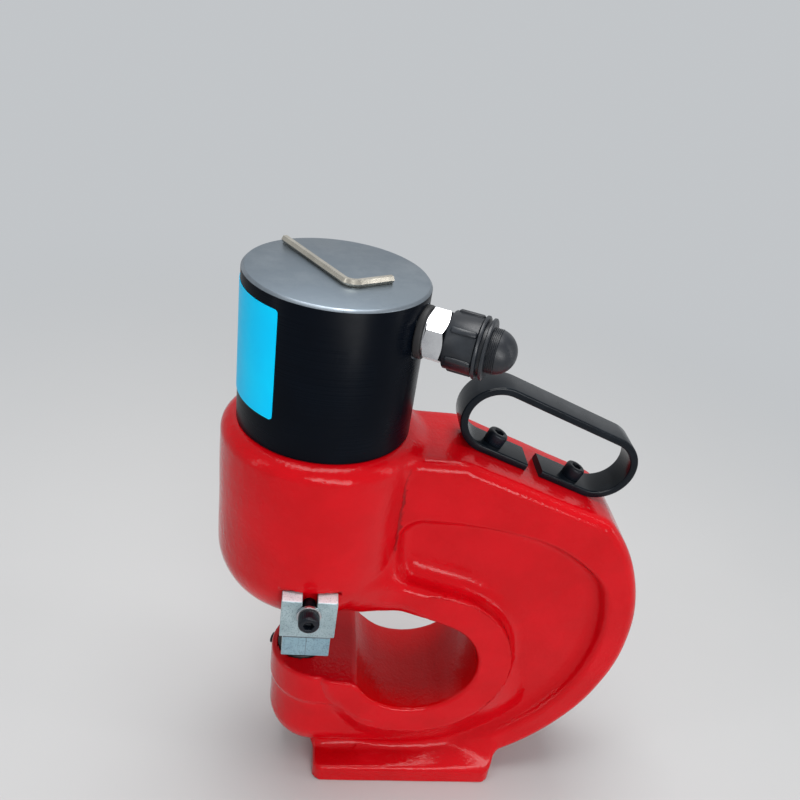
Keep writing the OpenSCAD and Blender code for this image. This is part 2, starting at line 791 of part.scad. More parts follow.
// Strap bent into a loop, its two ends screwed to the sloping top
module handle() {
    module loop(inset) {
        r = handle_h / 2 - inset;
        reach = (handle_len - handle_h) / 2;
        square([2 * reach, 2 * r], center = true);
        for (end = [-1, 1])
            translate([end * reach, 0]) circle(r = r);
    }
    color([0.08, 0.08, 0.09]) placed() on_slope(handle_along, handle_h / 2) difference() {
        across(strap_w) difference() {
            loop(0);
            loop(strap_t);
            translate([-strap_gap / 2, -handle_h]) square([strap_gap, handle_h]);
        }
        for (end = [-1, 1])
            translate([end * handle_pitch / 2, 0, -handle_h / 2 - past])
                cylinder(r = screw_r + fit_gap, h = strap_t + 2 * past);
    }
}

module handle_screws() {
    color([0.08, 0.08, 0.09]) placed() for (end = [-1, 1])
        on_slope(handle_along + end * handle_pitch / 2, strap_t)
            socket_screw(screw_r, screw_head_r, screw_head_h, strap_t + 2 * screw_grip - past);
}

module port_seal() {
    color([0.07, 0.07, 0.07]) placed() at_port()
        tube(port_seal_od / 2, port_d / 2 + fit_gap, port_face, hex_face);
}

module coupler_body() {
    thread_start = cylinder_bore / 2 + 1;
    color([0.80, 0.81, 0.82]) placed() at_port() difference() {
        union() {
            translate([0, 0, hex_face])
                cylinder(r = coupler_af / sqrt(3), h = coupler_hex_len, $fn = 6);
            translate([0, 0, thread_start]) cylinder(d = port_d, h = hex_face - thread_start + past);
            translate([0, 0, nose_face - past]) cylinder(d = coupler_nose_d, h = coupler_nose_len + past);
        }
        cylinder(r = valve_throat_r, h = nose_face + coupler_nose_len);
        translate([0, 0, valve_floor]) cylinder(d = valve_d, h = coupler_nose_len);
    }
}

// The ball is pushed back onto its seat by a small spring behind a retainer
module coupler_ball() {
    color([0.75, 0.75, 0.77]) placed() at_port() translate([0, 0, ball_x]) sphere(d = ball_d, $fn = 48);
}

module coupler_spring() {
    low = ball_x + ball_d / 2 + free_gap;
    height = retainer_x - low - free_gap;
    echo(coupler_spring_gap = coil_gap(valve_coil_d, valve_turns, valve_wire, height));
    color([0.70, 0.70, 0.72]) placed() at_port() translate([0, 0, low])
        coil(valve_coil_d, valve_turns, valve_wire, height);
}

module coupler_retainer() {
    color([0.70, 0.70, 0.72]) placed() at_port()
        tube(valve_d / 2 - fit_gap, retainer_bore_r, retainer_x, retainer_x + retainer_t);
}

// Dust cap: ribbed skirt, two thin discs, a threaded stub and a domed end
module dust_cap() {
    dome_base_r = stub_d / 2 - dome_step;
    dome_r = (dome_base_r * dome_base_r + dome_len * dome_len) / (2 * dome_len);
    color([0.06, 0.06, 0.07]) placed() at_port() difference() {
        union() {
            translate([0, 0, cap_face]) cylinder(d = cap_od, h = cap_skirt_len + past);
            for (i = [0 : rib_count - 1])
                rotate([0, 0, rib_turn + 360 * i / rib_count])
                    translate([cap_od / 2 - past, -rib_w / 2, cap_face + rib_start])
                        cube([past + rib_h, rib_w, cap_skirt_len - rib_start]);
            for (i = [0, 2])
                translate([0, 0, disc_face + i * disc_t]) cylinder(d = disc_od, h = disc_t);
            translate([0, 0, disc_face]) cylinder(d = cap_od - 3, h = 3 * disc_t);
            translate([0, 0, stub_face - past]) cylinder(d = stub_d, h = stub_len + past);
            translate([0, 0, stub_face + stub_len]) intersection() {
                translate([0, 0, dome_len - dome_r]) sphere(r = dome_r);
                cylinder(d = stub_d, h = dome_len);
            }
        }
        translate([0, 0, cap_face - past]) cylinder(r = cap_bore_r, h = cap_end - cap_face + past);
    }
}

// L-shaped key lying on the cylinder
module hex_key() {
    rise = cylinder_top_z + free_gap / 2 + key_af / 2;
    color([0.78, 0.77, 0.72]) placed() translate([key_x, key_y, rise])
        rotate([0, 0, key_turn - 90]) {
            translate([key_bend_r, key_bend_r, 0]) rotate([0, 0, 180]) rotate_extrude(angle = 90)
                translate([key_bend_r, 0]) circle(r = key_af / sqrt(3), $fn = 6);
            translate([0, key_bend_r, 0]) rotate([-90, 0, 0])
                cylinder(r = key_af / sqrt(3), h = key_long - key_bend_r, $fn = 6);
            translate([key_bend_r, 0, 0]) rotate([0, 90, 0]) rotate([0, 0, 90])
                cylinder(r = key_af / sqrt(3), h = key_short - key_bend_r, $fn = 6);
        }
}

c_frame();
cylinder_body();  // cylinder
cylinder_o_ring();
label();
guide_bush();
wiper_ring();
spring_seat();
return_spring();
piston();
piston_seal();
piston_wear_ring();
piston_screw();
ram();
punch();
punch_nut();
die();
die_set_screw();
stripper_front();
stripper_rear();
stripper_screws();
stripper_washers();
handle();
handle_screws();
port_seal();
coupler_body();
coupler_ball();
coupler_spring();
coupler_retainer();
dust_cap();
hex_key();
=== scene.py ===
"""Dressed scene of a C-frame hydraulic hole punch.

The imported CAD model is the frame. Cast, moulded and plated forms are rebuilt here as finer
meshes that stand for their CAD nodes, and every piece gets a procedural finish. Sizes are in
millimetres about the punch axis; `placed` turns them into the frame's metres.
"""
import logging
import math
from dataclasses import dataclass
from enum import Enum
from typing import Callable, ClassVar, Optional, Sequence, Union

import bmesh
import bpy
import numpy as np
from mathutils import Matrix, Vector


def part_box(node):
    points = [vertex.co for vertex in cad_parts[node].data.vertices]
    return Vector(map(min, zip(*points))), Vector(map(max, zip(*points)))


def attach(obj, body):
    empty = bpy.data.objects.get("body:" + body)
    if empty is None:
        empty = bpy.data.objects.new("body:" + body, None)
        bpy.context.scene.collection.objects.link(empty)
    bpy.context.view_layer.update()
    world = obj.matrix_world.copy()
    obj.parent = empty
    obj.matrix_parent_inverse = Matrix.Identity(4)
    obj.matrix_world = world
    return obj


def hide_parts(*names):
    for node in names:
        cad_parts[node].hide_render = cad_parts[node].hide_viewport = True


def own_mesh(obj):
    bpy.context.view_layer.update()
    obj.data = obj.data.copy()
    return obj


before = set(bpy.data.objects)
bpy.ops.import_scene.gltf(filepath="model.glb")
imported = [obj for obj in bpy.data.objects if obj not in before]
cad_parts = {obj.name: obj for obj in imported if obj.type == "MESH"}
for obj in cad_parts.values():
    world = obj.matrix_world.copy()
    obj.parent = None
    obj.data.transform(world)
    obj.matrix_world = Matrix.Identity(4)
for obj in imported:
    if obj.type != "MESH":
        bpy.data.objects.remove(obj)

LOG = logging.getLogger("hole_punch")
FOOT_MID = -round((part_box("ram")[0].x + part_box("ram")[1].x) * 500.0, 2)
MM = 0.001
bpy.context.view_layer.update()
Socket = bpy.types.NodeSocket
Value = Union[float, Sequence[float], Socket]
Inputs = dict[Union[str, int], Value]
Triple = tuple[float, float, float]
Outline = Sequence[tuple[float, float]]
Field = Callable[..., np.ndarray]

# How meshes are cleaned and smoothed
EASE_SHARE = 0.42
MERGE_GAP = 2e-6
FLAT_WITHIN = math.radians(0.8)
SHARP_PAST = math.radians(28.0)
SETTLING_ROUNDS = 4
SETTLING_SHARE = 0.6
NUDGE = 0.05


class Body(str, Enum):
    """The bodies that move as one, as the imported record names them."""

    FRAME = "frame"
    RAM = "ram"
    STRIPPER_FRONT = "stripper_front"
    STRIPPER_REAR = "stripper_rear"
    DUST_CAP = "dust_cap"
    HEX_KEY = "hex_key"


class Section(Enum):
    """Cross-sections that the sweep tree can carry along a path."""

    STRAP = "strap"
    HEXAGON = "hexagon"
    WIRE = "wire"


def placed(points: np.ndarray) -> np.ndarray:
    """Frame metres of points in millimetres about the punch axis."""
    return (np.asarray(points, float) - (FOOT_MID, 0.0, 0.0)) * MM


def turn(axis: str, degrees: float) -> np.ndarray:
    """Rotation matrix of so many degrees about X, Y or Z."""
    return np.array(Matrix.Rotation(math.radians(degrees), 3, axis))


def chain(count: int) -> list[tuple[int, int]]:
    """Pairs of numbers that join so many points in a row."""
    return [(i, i + 1) for i in range(count - 1)]


def linked(name: str, data: bpy.types.ID) -> bpy.types.Object:
    """A new object of the scene.

    Args:
        name: Name of the object.
        data: The mesh, lamp or camera that it shows.

    Returns:
        The object.
    """
    obj = bpy.data.objects.new(name, data)
    bpy.context.scene.collection.objects.link(obj)
    return obj


# Shells


@dataclass
class Shell:
    """A mesh in the making: points in millimetres, faces, and a finish number for each face."""

    points: np.ndarray
    faces: list[tuple[int, ...]]
    finish_of: list[int]

    def moved(self, matrix: np.ndarray, offset: Sequence[float]) -> "Shell":
        """The shell turned by a rotation matrix and then shifted."""
        points = self.points @ np.asarray(matrix).T + np.asarray(offset, float)
        return Shell(points, self.faces, self.finish_of)

    def plus(self, other: "Shell") -> "Shell":
        """This shell and another as one mesh.

        Args:
            other: The shell that is added.

        Returns:
            A new shell.
        """
        start = len(self.points)
        faces = self.faces + [tuple(i + start for i in face) for face in other.faces]
        return Shell(np.vstack([self.points, other.points]), faces, self.finish_of + other.finish_of)

    def to_mesh(self, name: str) -> bpy.types.Mesh:
        """A smooth Blender mesh of the shell in the frame's metres.

        Args:
            name: Name of the mesh.

        Returns:
            The mesh.
        """
        mesh = bpy.data.meshes.new(name)
        mesh.from_pydata(placed(self.points).tolist(), [], self.faces)
        mesh.polygons.foreach_set("material_index", self.finish_of)
        mesh.shade_smooth()
        return mesh


def loft(
    rings: Sequence[np.ndarray], finishes: Optional[Sequence[int]] = None, closed: bool = False
) -> Shell:
    """Skin over rings of equal count, capped at both ends unless it closes on itself.

    Args:
        rings: Arrays of points, each going round counter-clockwise seen from the far end.
        finishes: Finish number of each band, then of the two caps where there are caps.
        closed: Whether the last ring joins the first.

    Returns:
        The shell.
    """
    count, rows = len(rings[0]), len(rings)
    bands = rows if closed else rows - 1
    faces: list[tuple[int, ...]] = []
    finish_of: list[int] = []
    finishes = list(finishes) if finishes is not None else [0] * (bands + 2)
    for row in range(bands):
        low, high = row * count, (row + 1) % rows * count
        for k in range(count):
            n = (k + 1) % count
            faces.append((low + k, low + n, high + n, high + k))
        finish_of += [finishes[row]] * count
    points = np.vstack(rings)
    if not closed:
        first, last = len(points), (rows - 1) * count
        points = np.vstack([points, rings[0].mean(0), rings[-1].mean(0)])
        faces += [(first, (k + 1) % count, k) for k in range(count)]
        faces += [(first + 1, last + k, last + (k + 1) % count) for k in range(count)]
        finish_of += [finishes[bands]] * count + [finishes[bands + 1]] * count
    return Shell(points, faces, finish_of)


def ring(radius: Union[float, np.ndarray], z: Union[float, np.ndarray], count: int) -> np.ndarray:
    """A ring of points about Z.

    Args:
        radius: Radius of the ring, or one for each point.
        z: Height of the ring, or one for each point.
        count: Number of points.

    Returns:
        The points.
    """
    angle = np.arange(count) * 2 * math.pi / count
    out = np.zeros((count, 3))
    out[:, 0], out[:, 1], out[:, 2] = radius * np.cos(angle), radius * np.sin(angle), z
    return out


def hexagon_radius(flats: float, count: int) -> np.ndarray:
    """Radius of a hexagon of that width across flats at each of count angles, a corner at zero."""
    angle = np.arange(count) * 2 * math.pi / count
    return flats / 2 / np.cos((angle % (math.pi / 3)) - math.pi / 6)


def eased(profile: Outline, radius: float, steps: int = 3, closed: bool = False) -> Outline:
    """A profile whose corners are rounded.

    Args:
        profile: Corner points (radius, height) in order.
        radius: Radius of the rounding, held to what the sides allow.
        steps: Segments in each rounding.
        closed: Whether the profile is a loop.

    Returns:
        The points of the eased profile.
    """
    corners = [np.array(p, float) for p in profile]
    out: list[tuple[float, float]] = []
    for i, corner in enumerate(corners):
        if not closed and i in (0, len(corners) - 1):
            out.append(tuple(corner))
            continue
        back, ahead = corners[i - 1] - corner, corners[(i + 1) % len(corners)] - corner
        reach_b, reach_a = np.linalg.norm(back), np.linalg.norm(ahead)
        back, ahead = back / reach_b, ahead / reach_a
        half = math.acos(max(-1.0, min(1.0, float(back @ ahead)))) / 2
        share = EASE_SHARE * min(reach_b, reach_a)
        tangent = min(radius / max(math.tan(half), 1e-6), share)
        for s in range(steps + 1):
            t = s / steps
            out.append(tuple(corner + back * tangent * (1 - t) ** 2 + ahead * tangent * t ** 2))
    return out


def lathe(
    profile: Outline, count: int = 96, closed: bool = True, finishes: Optional[Sequence[int]] = None
) -> Shell:
    """A turned shell about Z from a profile that runs up the outside."""
    return loft([ring(r, z, count) for r, z in profile], finishes, closed)


# Pieces


def piece(
    name: str,
    mesh: bpy.types.Mesh,
    finishes: Sequence["Finish"],
    body: Body,
    nodes: Sequence[str] = (),
    sharp: Optional[float] = 40.0,
) -> bpy.types.Object:
    """Makes a mesh a finished piece of the object.

    Args:
        name: Name of the piece.
        mesh: Its mesh, already in place.
        finishes: Its finishes in the order of the mesh's numbers.
        body: The body it moves with.
        nodes: The CAD nodes that it stands for.
        sharp: Angle in degrees past which an edge shades sharp, or None to leave the normals.

    Returns:
        The piece's object.
    """
    obj = linked(name, mesh)
    numbers = [face.material_index for face in mesh.polygons]
    mesh.materials.clear()
    for finish in finishes:
        mesh.materials.append(finish.material())
    mesh.polygons.foreach_set("material_index", numbers)
    if sharp is not None:
        mesh.set_sharp_from_angle(angle=math.radians(sharp))
    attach(obj, body.value)
    if nodes:
        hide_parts(*nodes)
    LOG.info("%s: %d faces on %s", name, len(mesh.polygons), body.value)
    return obj


def dress(node: str, finish: "Finish") -> None:
    """Gives a CAD node that stays its finish.

    Args:
        node: Name of the node.
        finish: The finish.
    """
    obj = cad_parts[node]
    obj.data.materials.clear()
    obj.data.materials.append(finish.material())
    LOG.info("%s: %s", node, finish.name)


def softened(node: str, width: float, segments: int = 2) -> bpy.types.Mesh:
    """A merged copy of a CAD node's mesh with its sharp edges eased.

    Args:
        node: Name of the CAD node.
        width: Width of the easing in millimetres.
        segments: Segments across the easing.

    Returns:
        The new mesh, in place.
    """
    work = bmesh.new()
    work.from_mesh(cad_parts[node].data)
    bmesh.ops.remove_doubles(work, verts=work.verts, dist=MERGE_GAP)
    bmesh.ops.dissolve_limit(work, angle_limit=FLAT_WITHIN, verts=work.verts, edges=work.edges)
    edges = [e for e in work.edges if len(e.link_faces) == 2 and e.calc_face_angle(0.0) > SHARP_PAST]
    easing = {"offset": width * MM, "segments": segments, "profile": 0.5, "clamp_overlap": True}
    bmesh.ops.bevel(work, geom=edges, affect="EDGES", **easing)
    bmesh.ops.triangulate(work, faces=[f for f in work.faces if len(f.verts) > 4])
    mesh = bpy.data.meshes.new(node + "_eased")
    work.to_mesh(mesh)
    work.free()
    mesh.shade_smooth()
    return mesh


# Node trees


class TreeMaker:
    """Short calls for building one node tree."""

    def __init__(self, tree: bpy.types.NodeTree) -> None:
        """Starts on a tree, which is emptied."""
        self.tree = tree
        tree.nodes.clear()

    def add(self, kind: str, inputs: Optional[Inputs] = None, **settings: object) -> bpy.types.Node:
        """Adds a node.

        Args:
            kind: Blender's type name of the node.
            inputs: Values or sockets for its inputs, by name or number.
            settings: Properties set on the node first.

        Returns:
            The node.
        """
        node = self.tree.nodes.new(kind)
        for key, value in settings.items():
            setattr(node, key, value)
        for key, value in (inputs or {}).items():
            if isinstance(value, bpy.types.NodeSocket):
                self.tree.links.new(value, node.inputs[key])
            else:
                node.inputs[key].default_value = value
        return node

    def calc(self, operation: str, a: Value, b: Value = 0.0) -> Socket:
        """One step of arithmetic."""
        return self.add("ShaderNodeMath", {0: a, 1: b}, operation=operation).outputs[0]

    def seen(self) -> Socket:
        """One for rays that look, from the camera, a mirror or through glass, and nought for light.

        Returns:
            The value.
        """
        path = self.add("ShaderNodeLightPath").outputs
        mirrored = self.calc("MAXIMUM", path["Is Camera Ray"], path["Is Glossy Ray"])
        return self.calc("MAXIMUM", mirrored, path["Is Transmission Ray"])


class GeometryTree(TreeMaker):
    """A Geometry Nodes tree with named inputs, run once on points and turned into a mesh."""

    def __init__(self, name: str, inputs: dict[str, str]) -> None:
        """Starts a tree.

        Args:
            name: Name of the tree.
            inputs: Kind of each named input, as Blender writes it after NodeSocket.
        """
        super().__init__(bpy.data.node_groups.new(name, "GeometryNodeTree"))
        face = self.tree.interface
        self.keys: dict[str, str] = {}
        for key, kind in {"Geometry": "Geometry", **inputs}.items():
            made = face.new_socket(key, in_out="INPUT", socket_type="NodeSocket" + kind)
            self.keys[key] = made.identifier
        face.new_socket("Geometry", in_out="OUTPUT", socket_type="NodeSocketGeometry")
        self.given = self.add("NodeGroupInput").outputs

    def end(self, geometry: Socket) -> None:
        """Ends the tree in Realize Instances and Set Material.

        Args:
            geometry: What the tree has made.
        """
        real = self.add("GeometryNodeRealizeInstances", {"Geometry": geometry}).outputs[0]
        paint = {"Geometry": real, "Material": self.given["Material"]}
        self.add("NodeGroupOutput", {0: self.add("GeometryNodeSetMaterial", paint).outputs[0]})

    def copies(self, points: Socket, rotation: Socket) -> None:
        """Ends the tree in turned copies of its template.

        Args:
            points: Where the copies sit.
            rotation: How each is turned.
        """
        info = self.add("GeometryNodeObjectInfo", {"Object": self.given["Template"]})
        spread = {"Points": points, "Instance": info.outputs["Geometry"], "Rotation": rotation}
        self.end(self.add("GeometryNodeInstanceOnPoints", spread).outputs[0])

    def run(
        self,
        name: str,
        points: np.ndarray,
        edges: Sequence[tuple[int, int]],
        values: dict[str, object],
        facing: Optional[np.ndarray] = None,
    ) -> bpy.types.Mesh:
        """Runs the tree on a set of points.

        Args:
            name: Name of the new mesh.
            points: The points in metres.
            edges: Pairs of point numbers that are joined.
            values: Values of the named inputs.
            facing: A direction for each point, where the tree reads one.

        Returns:
            The evaluated plain mesh.
        """
        base = bpy.data.meshes.new(name + "_base")
        base.from_pydata(np.asarray(points).tolist(), list(edges), [])
        if facing is not None:
            column = base.attributes.new("facing", "FLOAT_VECTOR", "POINT")
            column.data.foreach_set("vector", np.asarray(facing, float).ravel())
        holder = linked(name + "_holder", base)
        modifier = holder.modifiers.new("tree", "NODES")
        modifier.node_group = self.tree
        for key, value in values.items():
            modifier[self.keys[key]] = value
        bpy.context.view_layer.update()
        graph = bpy.context.evaluated_depsgraph_get()
        mesh = bpy.data.meshes.new_from_object(holder.evaluated_get(graph))
        mesh.name = name
        holder.modifiers.remove(modifier)
        bpy.data.objects.remove(holder)
        return mesh


class SweepTree(GeometryTree):
    """Carries a strap, hexagon or wire section along a path."""

    def __init__(self, section: Section) -> None:
        """Builds the tree for one section.

        Args:
            section: The section.
        """
        kinds = {"Width": "Float", "Thickness": "Float", "Edge": "Float", "Sides": "Int"}
        super().__init__(section.value + "_sweep", {**kinds, "Material": "Material"})
        path = self.add("GeometryNodeMeshToCurve", {"Mesh": self.given["Geometry"]}).outputs[0]
        upright = self.add("GeometryNodeSetCurveNormal", {"Curve": path}, mode="Z_UP").outputs[0]
        if section is Section.STRAP:
            sizes = {"Width": self.given["Thickness"], "Height": self.given["Width"]}
            flat = self.add("GeometryNodeCurvePrimitiveQuadrilateral", sizes, mode="RECTANGLE").outputs[0]
            rounding = {"Curve": flat, "Radius": self.given["Edge"], "Count": self.given["Sides"]}
            outline = self.add("GeometryNodeFilletCurve", rounding, mode="POLY").outputs[0]
        else:
            sizes = {"Resolution": self.given["Sides"], "Radius": self.given["Width"]}
            outline = self.add("GeometryNodeCurvePrimitiveCircle", sizes).outputs[0]
        sweep = {"Curve": upright, "Profile Curve": outline, "Fill Caps": True}
        self.end(self.add("GeometryNodeCurveToMesh", sweep).outputs[0])


class ScatterTree(GeometryTree):
    """Sets a copy of one template on each point, its Z axis along the point's facing."""

    def __init__(self) -> None:
        """Builds the tree."""
        super().__init__("set_on_points", {"Template": "Object", "Material": "Material"})
        named = self.add("GeometryNodeInputNamedAttribute", {"Name": "facing"}, data_type="FLOAT_VECTOR")
        aligned = self.add("FunctionNodeAlignRotationToVector", {"Vector": named.outputs[0]}, axis="Z")
        self.copies(self.given["Geometry"], aligned.outputs[0])


class RingTree(GeometryTree):
    """Sets copies of one template round a circle about Z, its X axis outwards."""

    def __init__(self) -> None:
        """Builds the tree."""
        kinds = {"Count": "Int", "Radius": "Float", "First": "Float"}
        super().__init__("set_round_circle", {**kinds, "Template": "Object", "Material": "Material"})
        sizes = {"Vertices": self.given["Count"], "Radius": self.given["Radius"]}
        circle = self.add("GeometryNodeMeshCircle", sizes).outputs[0]
        start = self.add("ShaderNodeCombineXYZ", {"Z": self.given["First"]}).outputs[0]
        turned = self.add("GeometryNodeTransform", {"Geometry": circle, "Rotation": start}).outputs[0]
        outward = {"Vector": self.add("GeometryNodeInputPosition").outputs[0]}
        aligned = self.add("FunctionNodeAlignRotationToVector", outward, axis="X", pivot_axis="Z")
        self.copies(turned, aligned.outputs[0])


def template_object(name: str, shell: Shell) -> bpy.types.Object:
    """An unlinked object in metres about its own origin, for a tree to copy.

    Args:
        name: Name of the object.
        shell: Its shape in millimetres.

    Returns:
        The object.
    """
    mesh = bpy.data.meshes.new(name)
    mesh.from_pydata((shell.points * MM).tolist(), [], shell.faces)
    mesh.shade_smooth()
    return bpy.data.objects.new(name, mesh)


def lifted(mesh: bpy.types.Mesh, matrix: np.ndarray, offset: Sequence[float]) -> bpy.types.Mesh:
    """Turns a mesh made about its own origin and sets it at a point.

    Args:
        mesh: The mesh, which is changed.
        matrix: The rotation.
        offset: The point in millimetres.

    Returns:
        The same mesh.
    """
    spot = Matrix.Translation(placed(np.array(offset, float)).tolist())
    mesh.transform(spot @ Matrix(np.asarray(matrix).tolist()).to_4x4())
    return mesh


# Finishes


class ShaderTree(TreeMaker):
    """A material's tree with the textures that the finishes share."""

    def __init__(self, name: str) -> None:
        """Starts a material with one Principled shader.

        Args:
            name: Name of the material.
        """
        self.material = bpy.data.materials.new(name)
        self.material.use_nodes = True
        super().__init__(self.material.node_tree)
        self.bsdf = self.add("ShaderNodeBsdfPrincipled")
        self.output = self.add("ShaderNodeOutputMaterial", {"Surface": self.bsdf.outputs[0]})
        self.here = self.add("ShaderNodeTexCoord").outputs["Object"]

    def mapped(
        self, scale: Triple = (1, 1, 1), angles: Triple = (0, 0, 0), shift: Triple = (0, 0, 0)
    ) -> Socket:
        """Object coordinates shifted, turned by degrees and scaled.

        Args:
            scale: Scale along each axis.
            angles: Turn about each axis in degrees.
            shift: Shift along each axis in metres.

        Returns:
            The coordinates.
        """
        turned = [math.radians(a) for a in angles]
        place = {"Vector": self.here, "Location": shift, "Rotation": turned, "Scale": scale}
        return self.add("ShaderNodeMapping", place).outputs[0]

    def noise(
        self, scale: float, detail: float = 3.0, rough: float = 0.5, vector: Optional[Socket] = None
    ) -> Socket:
        """A noise from 0 to 1."""
        inputs = {"Vector": vector or self.here, "Scale": scale, "Detail": detail, "Roughness": rough}
        return self.add("ShaderNodeTexNoise", inputs).outputs[0]

    def cells(self, scale: float) -> Socket:
        """Distance to the nearest of scattered points."""
        return self.add("ShaderNodeTexVoronoi", {"Vector": self.here, "Scale": scale}).outputs["Distance"]

    def ranged(self, source: Socket, low: float, high: float, to_low: float, to_high: float) -> Socket:
        """A value mapped smoothly from one range to another and held there."""
        inputs = {0: source, 1: low, 2: high, 3: to_low, 4: to_high}
        return self.add("ShaderNodeMapRange", inputs, interpolation_type="SMOOTHSTEP").outputs[0]

    def uneven(self, cloud: Socket, rough: tuple[float, float], fine: Socket, swing: float) -> Socket:
        """A roughness that falls where clouds are light, with a fine texture on top.

        Args:
            cloud: The clouds.
            rough: Lowest and highest roughness.
            fine: The fine texture.
            swing: What its light parts add.

        Returns:
            The roughness.
        """
        broad = self.ranged(cloud, 0.3, 0.7, rough[1], rough[0])
        return self.calc("ADD", broad, self.ranged(fine, 0.3, 0.7, -swing, swing))

    def reach(self, a: Socket, b: Socket) -> Socket:
        """Distance to a point that lies a and b away."""
        squares = [self.calc("MULTIPLY", side, side) for side in (a, b)]
        return self.calc("SQRT", self.calc("ADD", *squares))

    def blend(self, amount: Value, a: Value, b: Value) -> Socket:
        """A mix of two colours.

        Args:
            amount: Share of the second colour.
            a: The first colour.
            b: The second colour.

        Returns:
            The mixed colour.
        """
        node = self.add("ShaderNodeMix", {"Factor": amount}, data_type="RGBA")
        for socket, value in ((node.inputs[6], a), (node.inputs[7], b)):
            if isinstance(value, bpy.types.NodeSocket):
                self.tree.links.new(value, socket)
            else:
                socket.default_value = (*value[:3], 1.0)
        return node.outputs[2]

    def bump(self, height: Socket, strength: Value, depth: float, under: Optional[Socket] = None) -> Socket:
        """A normal tipped by a height.

        Args:
            height: The height from 0 to 1.
            strength: How far the normal gives way to it.
            depth: What a height of 1 measures in millimetres.
            under: The normal that it lies on, where there is one.

        Returns:
            The tipped normal.
        """
        inputs: Inputs = {"Height": height, "Strength": strength, "Distance": depth * MM}
        if under is not None:
            inputs["Normal"] = under
        return self.add("ShaderNodeBump", inputs).outputs[0]

    def split(self, vector: Socket) -> Sequence[Socket]:
        """The X, Y and Z of a vector."""
        return self.add("ShaderNodeSeparateXYZ", {0: vector}).outputs

    def surface(self, **values: Value) -> bpy.types.Material:
        """Sets the shader's sockets and ends the material.

        Args:
            values: Values or sockets by the socket's name, with _ for a space.

        Returns:
            The material.
        """
        for key, value in values.items():
            socket = self.bsdf.inputs[key.replace("_", " ")]
            if isinstance(value, bpy.types.NodeSocket):
                self.tree.links.new(value, socket)
            elif isinstance(value, (tuple, list)) and len(value) == 3:
                socket.default_value = (*value, 1.0)
            else:
                socket.default_value = value
        return self.material


@dataclass(frozen=True)
class Finish:
    """A named finish with the name of one of the record's material slots, which is not used here."""

    name: str
    slot: str

    made: ClassVar[dict[str, bpy.types.Material]] = {}

    def material(self) -> bpy.types.Material:
        """The finish's material, made on first use."""
        if self.name not in self.made:
            self.made[self.name] = self.mix(ShaderTree(self.name))
        return self.made[self.name]

    def mix(self, tree: ShaderTree) -> bpy.types.Material:
        """Builds the finish in a fresh tree."""
        raise NotImplementedError


